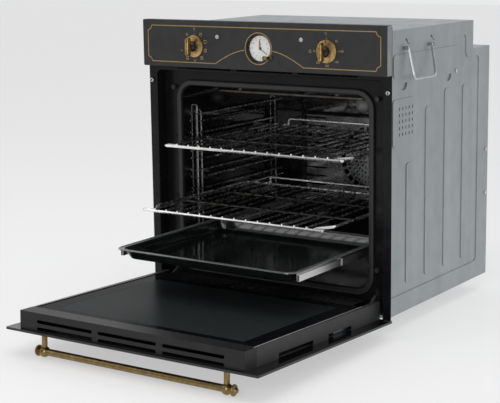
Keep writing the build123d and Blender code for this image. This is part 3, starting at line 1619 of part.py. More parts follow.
with BuildPart() as clock_dial:
    with BuildSketch(facing_front(dial_ledge)):
        with Locations((0, panel_mid)):
            Circle(dial_bore - turning_gap)
            Circle(timer_arbor + turning_gap, mode=Mode.SUBTRACT)
    extrude(amount=sheet)
clock_dial.part.label = "clock_dial"
export_step(clock_dial.part, "parts/clock_dial.step")

with BuildPart() as clock_glass:
    with BuildSketch(facing_front(glass_ledge)):
        with Locations((0, panel_mid)):
            Circle(clock_bore - turning_gap)
    extrude(amount=1.5 * sheet)
clock_glass.part.label = "clock_glass"
export_step(clock_glass.part, "parts/clock_glass.step")


def clock_hand(length, width, clock_angle, layer, arbor, bore):
    """A pointed hand on its hollow arbor, turned clockwise from twelve by the angle in degrees."""
    hand_back = dial_ledge - sheet - hand_gap - layer * (hand_thickness + hand_gap)
    with BuildPart() as hand:
        with BuildSketch(Plane(
            origin=(0, hand_back, panel_mid),
            x_dir=(math.cos(math.radians(clock_angle)), 0, -math.sin(math.radians(clock_angle))),
            z_dir=(0, -1, 0)
        )):
            with BuildLine():
                Polyline(
                    (-width / 2, 0), (-width / 3, length * 0.8), (0, length), (width / 3, length * 0.8),
                    (width / 2, 0), close=True,
                )
            make_face()
            Circle(arbor + sheet / 2)
        extrude(amount=hand_thickness)
        add(rod((0, hand_back, panel_mid), (0, arbor_end - layer, panel_mid), arbor))
        if bore:
            add(rod(
                (0, hand_back - 2 * sheet, panel_mid), (0, arbor_end + 1, panel_mid), bore
            ), mode=Mode.SUBTRACT)
    return hand.part


with BuildPart() as timer_hand:
    add(clock_hand(timer_length, timer_width, timer_angle, 0, timer_arbor, hour_arbor + turning_gap))
timer_hand.part.label = "timer_hand"
export_step(timer_hand.part, "parts/timer_hand.step")

with BuildPart() as hour_hand:
    add(clock_hand(hour_length, hand_width, 0, 1, hour_arbor, minute_arbor + turning_gap))
hour_hand.part.label = "hour_hand"
export_step(hour_hand.part, "parts/hour_hand.step")

with BuildPart() as minute_hand:
    add(clock_hand(minute_length, hand_width, 0, 2, minute_arbor, 0))
minute_hand.part.label = "minute_hand"
export_step(minute_hand.part, "parts/minute_hand.step")

# Setting knob of the clock: stem in the case, neck and a turned brass head
setting_stem_end = setting_end + panel_depth - sheet
with BuildPart() as clock_knob:
    with BuildSketch(Plane(origin=(setting_x, -panel_depth, setting_z), x_dir=(1, 0, 0), z_dir=(0, 0, -1))):
        with BuildLine():
            Polyline(
                (0, -setting_stem_end), (setting_stem, -setting_stem_end), (setting_stem, knob_gap),
                (setting_base, knob_gap), *setting_profile, close=True,
            )
        make_face()
    revolve(axis=Axis((setting_x, -panel_depth, setting_z), (0, 1, 0)))
clock_knob.part.label = "clock_knob"
export_step(clock_knob.part, "parts/clock_knob.step")

# Bail handle: wire with both ends turned into the ears of the side panel
bail_mid = (bail_front + bail_rear) / 2
with BuildPart() as bail_handle_right:
    add(wire([
        (bail_x, bail_front - bail_ear, bail_z),
        (bail_x, bail_front + 2 * bail_radius, bail_z),
        (bail_bottom_x, bail_mid - bail_bottom_width / 2, bail_bottom_z),
        (bail_bottom_x, bail_mid + bail_bottom_width / 2, bail_bottom_z),
        (bail_x, bail_rear - 2 * bail_radius, bail_z),
        (bail_x, bail_rear + bail_ear, bail_z),
    ], bail_radius, (bail_radius + 1, 4 * bail_radius, 4 * bail_radius, bail_radius + 1)))
bail_handle_right.part.label = "bail_handle_right"
export_step(bail_handle_right.part, "parts/bail_handle_right.step")

with BuildPart() as bail_handle_left:
    add(mirror(bail_handle_right.part, about=Plane.YZ, mode=Mode.PRIVATE))
bail_handle_left.part.label = "bail_handle_left"
export_step(bail_handle_left.part, "parts/bail_handle_left.step")
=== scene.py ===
"""Looks of a built-in oven with its door open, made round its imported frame."""
import json
import math
from functools import partial

import bmesh
import bpy
from mathutils import Matrix, Vector


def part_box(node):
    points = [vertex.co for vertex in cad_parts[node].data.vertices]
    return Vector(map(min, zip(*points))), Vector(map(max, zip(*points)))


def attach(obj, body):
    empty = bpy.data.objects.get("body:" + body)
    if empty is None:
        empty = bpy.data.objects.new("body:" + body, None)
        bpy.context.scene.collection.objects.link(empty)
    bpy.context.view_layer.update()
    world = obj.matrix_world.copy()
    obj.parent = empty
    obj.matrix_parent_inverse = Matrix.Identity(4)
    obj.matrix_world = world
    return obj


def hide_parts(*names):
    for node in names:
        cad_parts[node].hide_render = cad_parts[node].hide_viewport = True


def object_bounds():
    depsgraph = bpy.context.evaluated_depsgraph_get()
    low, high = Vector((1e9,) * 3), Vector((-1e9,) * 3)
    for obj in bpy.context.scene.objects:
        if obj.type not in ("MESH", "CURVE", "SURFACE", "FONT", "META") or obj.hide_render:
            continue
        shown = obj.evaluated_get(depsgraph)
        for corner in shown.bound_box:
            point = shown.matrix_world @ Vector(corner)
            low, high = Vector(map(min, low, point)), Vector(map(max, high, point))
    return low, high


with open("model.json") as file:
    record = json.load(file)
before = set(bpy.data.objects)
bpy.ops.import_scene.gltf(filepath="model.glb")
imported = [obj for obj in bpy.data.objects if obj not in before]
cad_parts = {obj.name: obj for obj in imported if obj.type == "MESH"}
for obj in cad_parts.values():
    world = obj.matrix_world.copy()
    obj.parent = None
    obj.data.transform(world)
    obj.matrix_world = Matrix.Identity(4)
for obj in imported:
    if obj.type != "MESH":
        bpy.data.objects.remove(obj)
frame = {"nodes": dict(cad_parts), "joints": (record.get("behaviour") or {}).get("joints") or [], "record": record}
cad_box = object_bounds()
nodes = frame["nodes"]
joints = {joint["name"]: joint for joint in frame["joints"]}
mounts = {mount["name"]: mount for mount in frame["record"]["mounts"]}

MM = 0.001
QUARTER = math.radians(90)

# Camera, solved from the photograph
CAMERA_PLACE = (1.58702, -2.38616, 0.77001)
CAMERA_YAW = 34.2713
CAMERA_PITCH = 10.8257
CAMERA_ROLL = -0.8136
CAMERA_LENS = 100.54
CAMERA_SIGHT = 50.0

# Floor: drop below the oven, half width, two tints and glow
FLOOR_DROP = 4.0 * MM
FLOOR_REACH = 12.0
FLOOR_TINTS = ((0.49, 0.49, 0.49), (0.51, 0.51, 0.51))
FLOOR_GLOW = 0.47

# Sky: tint, and its strength from the front of the oven to the back
SKY_TINT = (0.995, 0.998, 1, 1)
SKY_REACH = 0.5
SKY_STRENGTH = (0.22, 0.82)

# Lamps: place, width and height, and power
LAMP_AIM = (0, 0, 0.3)
LAMPS = {
    "light_over": ((0.2, -0.9, 2.8), (2.6, 2.0), 22),
    "light_right": ((2.8, 0.4, 1.4), (1.6, 1.8), 3),
    "light_left": ((-2.4, -2.0, 1.6), (1.4, 1.8), 10),
    "light_front": ((1.1, -3.2, 1.1), (1.4, 1.4), 30),
}

# Thickness of what is printed, and smoothness of round shapes
PRINT = 0.12 * MM
ROUND_STEPS = 48
CURVE_STEPS = 12

# Gold line on the panel: half width, bottom and top, its notched corners and its swing up to the clock
LINE_WIDTH = 1.7 * MM
LINE_FRAME = (283.5 * MM, 506.8 * MM, 583.0 * MM)
LINE_NOTCH = 11.0 * MM
LINE_STEP = 1.2 * MM
NOTCH_ANGLES = (6, 84)
NOTCH_STEPS = 7
LINE_GAP = 108.0 * MM
LINE_MEETS = (34.0 * MM, 537.3 * MM)
LINE_PULL = (64.8 * MM, 533.6 * MM)
RING_RADIUS = 32.3 * MM
EDGE_GAP = 1.0 * MM

# Signs about the left knob: angle, radius, and strokes in a square of side two about each sign's middle
MARK_WIDTH = 0.75 * MM
MARK_SIZE = 3.0 * MM
BOX = ((-1, -1), (1, -1), (1, 1), (-1, 1), (-1, -1))
SIGNS = (
    (0, 34.5, [((-0.6, 1), (0.7, 1), (0.1, -1))]),
    (35, 30.0, [BOX, ((-0.6, 0.55), (-0.2, 0.2), (0.2, 0.55), (0.6, 0.2))]),
    (71, 30.0, [BOX]),
    (106, 30.0, [BOX, ((-0.7, -0.6), (0.7, -0.6)), ((-0.7, 0.6), (0.7, 0.6))]),
    (141, 31.0, [BOX, ((-0.7, 0.6), (0.7, 0.6)), ((-0.4, -0.4), (0.4, 0.2)), ((-0.4, 0.2), (0.4, -0.4))]),
    (177, 30.0, [((-1, 0.8), (0, -0.4), (1, 0.8)), ((-0.7, -0.9), (0.7, -0.9))]),
    (215, 31.0, [BOX, ((-0.6, -0.5), (-0.2, -0.1), (0.2, -0.5), (0.6, -0.1))]),
    (254, 34.0, [((-1, 0.5), (0, -0.5), (1, 0.5)), ((0, -0.5), (0, -1))]),
    (323, 30.5, [((-1, 0), (1, 0)), ((-0.5, 0.9), (0.5, -0.9)), ((-0.5, -0.9), (0.5, 0.9))]),
)

# Marks about the right knob: temperatures and their unit, a wedge and two ticks with their outer ends
NUMBER_SIZE = 6.2 * MM
DEGREES = (
    (47, 30.5, "50"), (88, 34.0, "100"), (131, 30.5, "150"), (179, 28.5, "200"), (221, 30.5, "250"),
    (-3, 35.0, "°C"),
)
WEDGE = (-90, 38.5, [((-1, -1), (1, -1), (0.2, 1), (-1, -1))])
TICK_START = 26.5 * MM
TICKS = ((-90, 31.0), (88, 28.5))

# Dot over each knob: distance from the knob's axis, and radius
DOT_PLACE = 25.8 * MM
DOT_RADIUS = 0.9 * MM

# Clock's dial: marks from their inner to their outer end, their widths, and the dark ring at the edge
DIAL_RADIUS = 26.0 * MM
DIAL_NUMBERS = 18.6 * MM
DIAL_NUMBER_SIZE = 4.0 * MM
MINUTE_MARK = (23.0 * MM, 24.2 * MM)
HOUR_MARK = (22.2 * MM, 24.6 * MM)
MINUTE_WIDTH = 0.2 * MM
HOUR_WIDTH = 0.7 * MM
DIAL_EDGE = 0.1 * MM

# Knobs in millimetres: radius of the skirt, its dome's height and fall to the rim, and the pointer on it
SKIRT_RADIUS = 23.0
SKIRT_DOME = 4.5
SKIRT_FALL = 2.5
POINTER = ((16.0, 0.2), (18.0, 0.9), (21.0, 0.5))
POINTER_EDGES = ((-1, 0.3), (1, 0.3), (1, -0.15), (-1, -0.15))

# Reach of the painted shade on the wire shelves' cross bars
SHELF_BAR_SHADE = 4.0 * MM

# Half width, bottom and top of the door's inner window and of the black border round it, with the door shut
WINDOW = (222.0 * MM, 100.0 * MM, 425.7 * MM)
BORDER = (259.0 * MM, 69.0 * MM, 453.0 * MM)
# Width of the painted highlight line along each side channel's edge
GLASS_HIGHLIGHT = 1.4 * MM

# Handle's ends in millimetres: ball, finial and post, each as radius and distance along its axis
HANDLE_BALL = 11.0
BALL_HEIGHTS = (-8.4, -7, -5, -2.5, 0, 2.5, 5, 7, 8.4, 9.3)
FINIAL = (
    (5.6, 9.9), (5.6, 10.8), (7.4, 11.1), (8.2, 11.8), (7.4, 12.5), (7.0, 13.0), (9.8, 13.5),
    (10.9, 14.4), (11.1, 15.6), (10.5, 16.7), (9.2, 17.2), (9.0, 17.9), (7.9, 18.4), (6.3, 18.9),
    (5.2, 19.9), (4.7, 21.6), (3.5, 23.2), (1.9, 24.2), (0.0, 24.5),
)
POST = (
    (0.0, 2.0), (5.6, 2.0), (5.6, 30.5), (6.2, 31.8), (8.2, 33.2), (9.6, 34.4), (9.9, 37.5),
    (2.4, 37.5), (2.4, 42.4), (0.0, 42.4),
)

# Baking tray's section in millimetres: distance in from its outer edge, and height over its underside
TRAY_SECTION = (
    (0.7, 21.4), (0.0, 22.3), (0.3, 23.5), (1.6, 24.1), (3.0, 23.6), (4.1, 22.6), (6.5, 22.3),
    (7.8, 23.0), (9.2, 23.5), (10.6, 23.0), (11.7, 21.8), (12.6, 18.6), (20.3, 5.4), (22.3, 2.8),
    (26.0, 1.2), (32.0, 0.8),
)
TRAY_CORNER = 26.0 * MM
CORNER_STEPS = 8
# Height of the tray's rim over its underside, and the depth below it that takes a grey painted highlight
TRAY_RIM = 23.6 * MM
TRAY_RIM_DEPTH = 1.6 * MM
TRAY_WALL = 0.8 * MM

# Dimples in the tray's rim: distance in from its edge, height, count and pitch, stretch and section
DIMPLE_INSET = 5.3 * MM
DIMPLE_HEIGHT = 22.0 * MM
DIMPLES = 5
DIMPLE_PITCH = 56.0 * MM
DIMPLE_STRETCH = (0.55, 1, 0.5, 1)
DIMPLE_SECTION = ((0, 0), (4, 0), (3.6, 1.2), (2.4, 2.1), (0, 2.5))

# Bushes in the flange's holes: depth behind the panel, and section in millimetres
BUSH_DEPTH = -3.0 * MM
BUSH_SECTION = ((2.4, -3), (3.9, -0.4), (4.2, 0.3), (3.6, 0.6), (2.5, 0.3), (2.4, -3))

# Places taken from the frame
panel_low, panel_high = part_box("control_panel")
panel_face = panel_low.y
dial_low, dial_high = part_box("clock_dial")
clock_centre = (0, (dial_low.z + dial_high.z) / 2)
tray_low, tray_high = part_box("baking_tray")
hinge = joints["door_hinge"]
hinge_place = Vector(hinge["pos_m"])
door_angle = -math.radians(hinge["range_deg"][0])
knob_places = {
    joints[joint]["child"]: Vector(joints[joint]["pos_m"])
    for joint in ("function_knob_turn", "thermostat_knob_turn")
}


class Look:
    """A material under construction: its shader, and short ways to add textures to it."""

    def __init__(self, name, colour, metallic=0.0, roughness=0.5, **sockets):
        self.material = bpy.data.materials.new(name)
        self.material.use_nodes = True
        self.tree = self.material.node_tree
        self.shader = self.tree.nodes["Principled BSDF"]
        self.shader.inputs["Base Color"].default_value = (*colour, 1)
        self.shader.inputs["Metallic"].default_value = metallic
        self.shader.inputs["Roughness"].default_value = roughness
        for socket, value in sockets.items():
            self.shader.inputs[socket.replace("_", " ")].default_value = value
        self.place = self.tree.nodes.new("ShaderNodeTexCoord").outputs["Object"]

    def add(self, kind, inputs=(), **settings):
        """A new node with its settings, fed by values or by other nodes' outputs."""
        node = self.tree.nodes.new(kind)
        for setting, value in settings.items():
            setattr(node, setting, value)
        for socket, value in dict(inputs).items():
            if isinstance(value, bpy.types.NodeSocket):
                self.tree.links.new(value, node.inputs[socket])
            else:
                node.inputs[socket].default_value = value
        return node

    def along(self, axis):
        """The distance along one of the object's axes."""
        return self.add("ShaderNodeSeparateXYZ", {"Vector": self.place}).outputs[axis]

    def noise(self, grain, detail=4.0, stretch=None):
        """Cloudy noise, from 0 to 1, with its grain per metre, stretched along the axes."""
        place = self.place
        if stretch:
            place = self.add("ShaderNodeMapping", {"Vector": place, "Scale": stretch}).outputs["Vector"]
        node = self.add("ShaderNodeTexNoise", {"Vector": place, "Scale": grain, "Detail": detail})
        return node.outputs["Fac"]

    def crystals(self, grain):
        """Distance from the middle of each crystal, as on zinc."""
        return self.add("ShaderNodeTexVoronoi", {"Vector": self.place, "Scale": grain}).outputs["Distance"]

    def ramp(self, value, low, high, start=0.0, end=1.0):
        """The value spread from start to end between low and high."""
        node = self.add("ShaderNodeMapRange", {
            "Value": value, "From Min": low, "From Max": high, "To Min": start, "To Max": end
        })
        return node.outputs["Result"]

    def blend(self, share, first, second):
        """A colour between two, by the share."""
        node = self.add("ShaderNodeMix", data_type="RGBA")
        colours = [socket for socket in node.inputs if socket.type == "RGBA"]
        for socket, value in ((node.inputs["Factor"], share), (colours[0], first), (colours[1], second)):
            if isinstance(value, bpy.types.NodeSocket):
                self.tree.links.new(value, socket)
            else:
                socket.default_value = (*value, 1)
        return [socket for socket in node.outputs if socket.type == "RGBA"][0]

    def clouds(self, grain, detail, low, high, first, second):
        """A colour that drifts between two, where the noise lies between low and high."""
        return self.blend(self.ramp(self.noise(grain, detail), low, high), first, second)

    def colour(self, output):
        """Feeds the base colour."""
        self.tree.links.new(output, self.shader.inputs["Base Color"])

    def rough(self, output):
        """Feeds the roughness."""
        self.tree.links.new(output, self.shader.inputs["Roughness"])

    def relief(self, height, strength, depth=0.3 * MM):
        """Fine relief on the surface."""
        node = self.add("ShaderNodeBump", {"Height": height, "Strength": strength, "Distance": depth})
        self.tree.links.new(node.outputs["Normal"], self.shader.inputs["Normal"])


def enamel(name, dark, light, roughness, coat=0.0, index=1.5, level=0.5):
    """Fired enamel: nearly even colour, faint waves and fine specks."""
    look = Look(
        name, dark, roughness=roughness, Coat_Weight=coat, Coat_Roughness=0.05, IOR=index,
        Specular_IOR_Level=level
    )
    look.colour(look.clouds(22, 5, 0.35, 0.7, dark, light))
    look.rough(look.ramp(look.noise(60, 3), 0.3, 0.7, roughness * 0.85, roughness * 1.2))
    look.relief(look.noise(420, 3), 0.12, 0.4 * MM)
    return look.material


def tray_enamel(name, dark, light, rim_highlight_dark, rim_highlight_light, rim, depth):
    """Glossy tray enamel, with a grey painted highlight on the rim above a height."""
    look = Look(name, dark, roughness=0.1, IOR=1.9)
    height = look.along("Z")
    whole = look.clouds(22, 5, 0.35, 0.7, dark, light)
    # Painted highlight: the rim's top turns grey in place of the gloss catching the lamps
    rim_highlight = look.clouds(160, 4, 0.3, 0.7, rim_highlight_dark, rim_highlight_light)
    look.colour(look.blend(look.ramp(height, rim - depth, rim), whole, rim_highlight))
    look.rough(look.ramp(height, rim - depth, rim, 0.09, 0.26))
    look.relief(look.noise(420, 3), 0.1, 0.4 * MM)
    return look.material


def powder_coat(name, dark, light, roughness):
    """Charcoal powder coat with a fine orange-peel grain."""
    look = Look(name, dark, roughness=roughness, Specular_IOR_Level=0.3)
    look.colour(look.clouds(35, 6, 0.3, 0.7, dark, light))
    look.rough(look.ramp(look.noise(900, 2), 0.3, 0.7, roughness * 0.9, roughness * 1.15))
    look.relief(look.noise(1400, 2), 0.18)
    return look.material


def galvanised(name, dark, light, stain, spangle):
    """Zinc-coated sheet: soft spangle, faint rolling streaks and a few dull stains."""
    look = Look(name, dark, metallic=0.8, roughness=0.42)
    streaks = look.ramp(look.noise(18, 6, (1, 1, 0.05)), 0.3, 0.72)
    rolled = look.blend(streaks, dark, light)
    stained = look.blend(look.ramp(look.noise(7, 5), 0.55, 0.75, 0, 0.35), rolled, stain)
    look.colour(look.blend(look.ramp(look.crystals(75), 0.0, 0.014, 0, 0.12), stained, spangle))
    look.rough(look.ramp(look.noise(26, 6), 0.3, 0.7, 0.36, 0.52))
    look.relief(look.noise(240, 4), 0.1, 0.5 * MM)
    return look.material


def chrome(name, bright, dull, roughness, smoothest, bar_shade=None, node=None):
    """Plating with faint dull patches. A wire shelf's is darkened with painted shade on its two cross bars."""
    look = Look(name, bright, metallic=1.0, roughness=smoothest)
    colour = look.clouds(55, 4, 0.4, 0.75, bright, dull)
    if node:
        along = look.along("Y")
        low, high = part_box(node)
        # Painted shade: the plating turns near black on the shelf's two cross bars
        for third in (1, 2):
            bar = low.y + third * (high.y - low.y) / 3
            offset = look.add("ShaderNodeMath", {0: along, 1: bar}, operation="SUBTRACT").outputs["Value"]
            away = look.add("ShaderNodeMath", {0: offset}, operation="ABSOLUTE").outputs["Value"]
            colour = look.blend(look.ramp(away, SHELF_BAR_SHADE, SHELF_BAR_SHADE + MM), bar_shade, colour)
    look.colour(colour)
    look.rough(look.ramp(look.noise(90, 3), 0.35, 0.7, smoothest, roughness))
    return look.material


def rolled_steel(name, dark, light):
    """Rolled steel with fine lines along its length."""
    look = Look(name, light, metallic=1.0, roughness=0.28)
    lines = look.noise(350, 3, (1, 0.04, 1))
    look.colour(look.blend(lines, dark, light))
    look.relief(lines, 0.12)
    return look.material


def aged_brass(name, dark, light):
    """Antique brass: brown in its hollows, brushed and brighter where hands reach."""
    look = Look(name, light, metallic=1.0, roughness=0.34)
    look.colour(look.clouds(110, 6, 0.32, 0.68, dark, light))
    look.rough(look.ramp(look.noise(260, 4), 0.3, 0.7, 0.24, 0.46))
    look.relief(look.noise(900, 3, (0.2, 1, 1)), 0.15)
    return look.material


def plain(name, dark, light, roughness, grain=700, bump=0.1, metallic=0.0, **sockets):
    """Moulded or cast stuff: two near colours in broad clouds, and a fine grain."""
    look = Look(name, dark, metallic=metallic, roughness=roughness, **sockets)
    look.colour(look.clouds(grain / 12, 4, 0.3, 0.7, dark, light))
    look.relief(look.noise(grain, 3), bump)
    return look.material


def thin_glass(name, tint, roughness, alpha):
    """Thin glass with faint smears."""
    look = Look(name, tint, roughness=roughness, Alpha=alpha, IOR=1.5)
    look.rough(look.ramp(look.noise(12, 3), 0.3, 0.7, roughness, roughness * 3))
    return look.material


NEAR_BLACK = {"dark": (0.004, 0.004, 0.005), "light": (0.007, 0.007, 0.008)}
PLATING = {"bright": (0.9, 0.9, 0.89), "dull": (0.66, 0.66, 0.65)}
# Wire shelves' plating, with painted shade on the cross bars
SHELF_PLATING = partial(chrome, **PLATING, smoothest=0.2, roughness=0.32, bar_shade=(0.05, 0.048, 0.046))

# Finishes of the material slots
SLOT_FINISHES = {
    "black_enamel": partial(
        enamel, dark=(0.005, 0.005, 0.006), light=(0.009, 0.009, 0.01), roughness=0.28, coat=0.05,
        level=0.15
    ),
    "panel_black": partial(
        powder_coat, dark=(0.022, 0.022, 0.023), light=(0.03, 0.03, 0.031), roughness=0.48
    ),
    "cavity_enamel": partial(
        enamel, dark=(0.003, 0.003, 0.003), light=(0.006, 0.006, 0.006), roughness=0.06, index=1.8
    ),
    # The tray's rim gets a grey painted highlight
    "tray_enamel": partial(
        tray_enamel, dark=(0.004, 0.005, 0.005), light=(0.008, 0.009, 0.009), rim_highlight_dark=(0.1, 0.104, 0.104),
        rim_highlight_light=(0.2, 0.205, 0.2), rim=tray_low.z + TRAY_RIM, depth=TRAY_RIM_DEPTH
    ),
    "galvanised": partial(
        galvanised, dark=(0.3, 0.325, 0.34), light=(0.37, 0.395, 0.41), stain=(0.24, 0.26, 0.275),
        spangle=(0.42, 0.45, 0.47)
    ),
    "galvanised_wire": partial(
        plain, dark=(0.5, 0.52, 0.53), light=(0.62, 0.63, 0.64), roughness=0.3, metallic=1.0
    ),
    "bright_steel": partial(rolled_steel, dark=(0.52, 0.52, 0.52), light=(0.7, 0.7, 0.69)),
    "bright_aluminium": partial(
        plain, dark=(0.7, 0.7, 0.7), light=(0.8, 0.8, 0.8), roughness=0.3, metallic=1.0
    ),
    "element_steel": partial(
        plain, dark=(0.05, 0.045, 0.042), light=(0.11, 0.1, 0.09), roughness=0.4, metallic=0.8
    ),
    "motor_iron": partial(
        plain, dark=(0.2, 0.2, 0.21), light=(0.28, 0.28, 0.29), roughness=0.45, metallic=0.9
    ),
    "chrome_wire": partial(chrome, **PLATING, smoothest=0.17, roughness=0.34),
    "wool": partial(
        plain, dark=(0.55, 0.48, 0.32), light=(0.7, 0.64, 0.46), roughness=0.95, grain=300, bump=0.8
    ),
    "gasket": partial(
        plain, dark=(0.011, 0.011, 0.012), light=(0.02, 0.02, 0.021), roughness=0.5, grain=1500, bump=0.4
    ),
    "rubber_black": partial(plain, dark=(0.012, 0.012, 0.012), light=(0.02, 0.02, 0.02), roughness=0.6),
    "ceramic": partial(plain, dark=(0.75, 0.73, 0.68), light=(0.82, 0.8, 0.75), roughness=0.5),
    "lamp_glass": partial(thin_glass, tint=(0.8, 0.82, 0.82), roughness=0.15, alpha=0.45),
    "black_glass": partial(plain, **NEAR_BLACK, roughness=0.06, bump=0.0),
    "clear_glass": partial(thin_glass, tint=(0.03, 0.035, 0.034), roughness=0.02, alpha=0.05),
    "inner_glass": partial(
        plain, dark=(0.02, 0.024, 0.025), light=(0.026, 0.03, 0.031), roughness=0.3, bump=0.0,
        Specular_IOR_Level=0.012
    ),
    "antique_brass": partial(aged_brass, dark=(0.24, 0.15, 0.06), light=(0.55, 0.38, 0.165)),
    "knob_black": partial(
        plain, dark=(0.008, 0.008, 0.009), light=(0.012, 0.012, 0.013), roughness=0.12, bump=0.02
    ),
    "black_plastic": partial(plain, dark=(0.02, 0.02, 0.021), light=(0.03, 0.03, 0.031), roughness=0.5),
    "lens_plastic": partial(plain, dark=(0.36, 0.36, 0.36), light=(0.46, 0.46, 0.46), roughness=0.25),
    "dial_white": partial(
        plain, dark=(0.9, 0.9, 0.87), light=(0.95, 0.95, 0.92), roughness=0.45, bump=0.03
    ),
}

# Finishes of single pieces and nodes, which differ from their slots'
OWN_FINISHES = {
    "gold_paint": partial(
        plain, dark=(0.3, 0.2, 0.075), light=(0.38, 0.255, 0.095), roughness=0.42, metallic=0.2
    ),
    "sign_paint": partial(
        plain, dark=(0.34, 0.25, 0.11), light=(0.4, 0.29, 0.13), roughness=0.45, metallic=0.1
    ),
    "handle_brass": partial(aged_brass, dark=(0.2, 0.14, 0.06), light=(0.3, 0.215, 0.095)),
    # Lighter grey painted on the panel's end faces, as painted light
    "lit_panel_end": partial(
        plain, dark=(0.2, 0.205, 0.21), light=(0.26, 0.265, 0.27), roughness=0.4, metallic=0.3
    ),
    "border_black": partial(plain, **NEAR_BLACK, roughness=0.2, bump=0.0, Specular_IOR_Level=0.01),
    "cover_black": partial(
        powder_coat, dark=(0.008, 0.008, 0.009), light=(0.013, 0.013, 0.014), roughness=0.42
    ),
    "channel_grey": partial(
        powder_coat, dark=(0.034, 0.034, 0.035), light=(0.044, 0.044, 0.045), roughness=0.5
    ),
    # Pale grey of the painted highlight lines on the door's side channels
    "highlight_white": partial(
        plain, dark=(0.55, 0.55, 0.55), light=(0.68, 0.68, 0.68), roughness=0.4, metallic=0.2
    ),
    "fan_cover_enamel": partial(
        plain, dark=(0.16, 0.165, 0.165), light=(0.24, 0.245, 0.24), roughness=0.16, grain=420,
        metallic=0.85
    ),
    "upper_shelf_chrome": partial(SHELF_PLATING, node="upper_shelf"),
    "lower_shelf_chrome": partial(SHELF_PLATING, node="lower_shelf"),
}
NODE_FINISHES = {
    "handle_bar": "handle_brass",
    "clock_knob": "handle_brass",
    "door_top_cover": "cover_black",
    "door_channel_left": "channel_grey",
    "door_channel_right": "channel_grey",
    "fan_cover": "fan_cover_enamel",
    "upper_shelf": "upper_shelf_chrome",
    "lower_shelf": "lower_shelf_chrome",
}
finishes = {name: make(name) for name, make in (SLOT_FINISHES | OWN_FINISHES).items()}


def dress_nodes():
    """Gives every node of the frame its own finish or the one of its material slot."""
    for entry in frame["record"]["subparts"]:
        mesh = nodes[entry["node"]].data
        mesh.materials.clear()
        mesh.materials.append(finishes[NODE_FINISHES.get(entry["node"], entry["material_slot"])])


def place_camera():
    """The photograph's camera."""
    yaw, pitch, roll = (math.radians(angle) for angle in (CAMERA_YAW, CAMERA_PITCH, CAMERA_ROLL))
    ahead = Vector((-math.sin(yaw) * math.cos(pitch), math.cos(yaw) * math.cos(pitch), -math.sin(pitch)))
    level = Vector((math.cos(yaw), math.sin(yaw), 0))
    above = level.cross(ahead)
    right = math.cos(roll) * level + math.sin(roll) * above
    up = -math.sin(roll) * level + math.cos(roll) * above
    camera = bpy.data.objects.new("camera", bpy.data.cameras.new("camera"))
    bpy.context.scene.collection.objects.link(camera)
    turn = Matrix((right, up, -ahead)).transposed()
    camera.matrix_world = Matrix.Translation(CAMERA_PLACE) @ turn.to_4x4()
    camera.data.lens = CAMERA_LENS
    camera.data.clip_end = CAMERA_SIGHT
    bpy.context.scene.camera = camera


def lay_floor():
    """Pale floor that glows a little, under the oven."""
    low = cad_box[0][2] - FLOOR_DROP
    reach = FLOOR_REACH
    mesh = bpy.data.meshes.new("floor")
    corners = [(-reach, -reach, low), (reach, -reach, low), (reach, reach, low), (-reach, reach, low)]
    mesh.from_pydata(corners, [], [(0, 1, 2, 3)])
    floor = bpy.data.objects.new("floor", mesh)
    bpy.context.scene.collection.objects.link(floor)
    paint = Look(
        "floor_paint", FLOOR_TINTS[0], roughness=0.9, Emission_Color=(1, 1, 1, 1),
        Emission_Strength=FLOOR_GLOW
    )
    paint.colour(paint.blend(paint.noise(1.5), *FLOOR_TINTS))
    mesh.materials.append(paint.material)


def light_world():
    """Pale sky, brighter behind the oven than in front of it."""
    world = bpy.data.worlds.new("studio")
    world.use_nodes = True
    tree = world.node_tree
    way = tree.nodes.new("ShaderNodeTexCoord")
    split = tree.nodes.new("ShaderNodeSeparateXYZ")
    spread = tree.nodes.new("ShaderNodeMapRange")
    spread.inputs["From Min"].default_value = -SKY_REACH
    spread.inputs["From Max"].default_value = SKY_REACH
    spread.inputs["To Min"].default_value, spread.inputs["To Max"].default_value = SKY_STRENGTH
    tree.links.new(way.outputs["Generated"], split.inputs["Vector"])
    tree.links.new(split.outputs["Y"], spread.inputs["Value"])
    tree.links.new(spread.outputs["Result"], tree.nodes["Background"].inputs["Strength"])
    tree.nodes["Background"].inputs["Color"].default_value = SKY_TINT
    bpy.context.scene.world = world
    bpy.context.scene.view_settings.view_transform = "Standard"


def hang_lamps():
    """Large soft lamps that look at the oven."""
    for name, (place, size, power) in LAMPS.items():
        data = bpy.data.lights.new(name, "AREA")
        data.shape = "RECTANGLE"
        data.size, data.size_y = size
        data.energy = power
        lamp = bpy.data.objects.new(name, data)
        bpy.context.scene.collection.objects.link(lamp)
        lamp.location = place
        lamp.rotation_euler = (Vector(LAMP_AIM) - Vector(place)).to_track_quat("-Z", "Y").to_euler()


def add_piece(name, shape, finish, body, sharp=30):
    """Makes an object of a finished mesh, which rides on a body."""
    mesh = bpy.data.meshes.new(name)
    shape.to_mesh(mesh)
    shape.free()
    mesh.materials.append(finishes[finish])
    for polygon in mesh.polygons:
        polygon.use_smooth = True
    mesh.set_sharp_from_angle(angle=math.radians(sharp))
    made = bpy.data.objects.new(name, mesh)
    bpy.context.scene.collection.objects.link(made)
    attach(made, body)
    return made


def outward(shape):
    """Turns the faces of a closed shape outward."""
    bmesh.ops.recalc_face_normals(shape, faces=shape.faces)


def loft(shape, rings, closed=False, open_start=False):
    """Joins rings of points with faces. Unless they go round, the ends are closed, or the last one alone."""
    made = [[shape.verts.new(point) for point in ring] for ring in rings]
    count = len(made[0])
    for first, second in zip(made, made[1:] + (made[:1] if closed else [])):
        for index in range(count):
            after = (index + 1) % count
            shape.faces.new((first[index], first[after], second[after], second[index]))
    if not closed and not open_start:
        shape.faces.new(reversed(made[0]))
    if not closed:
        shape.faces.new(made[-1])


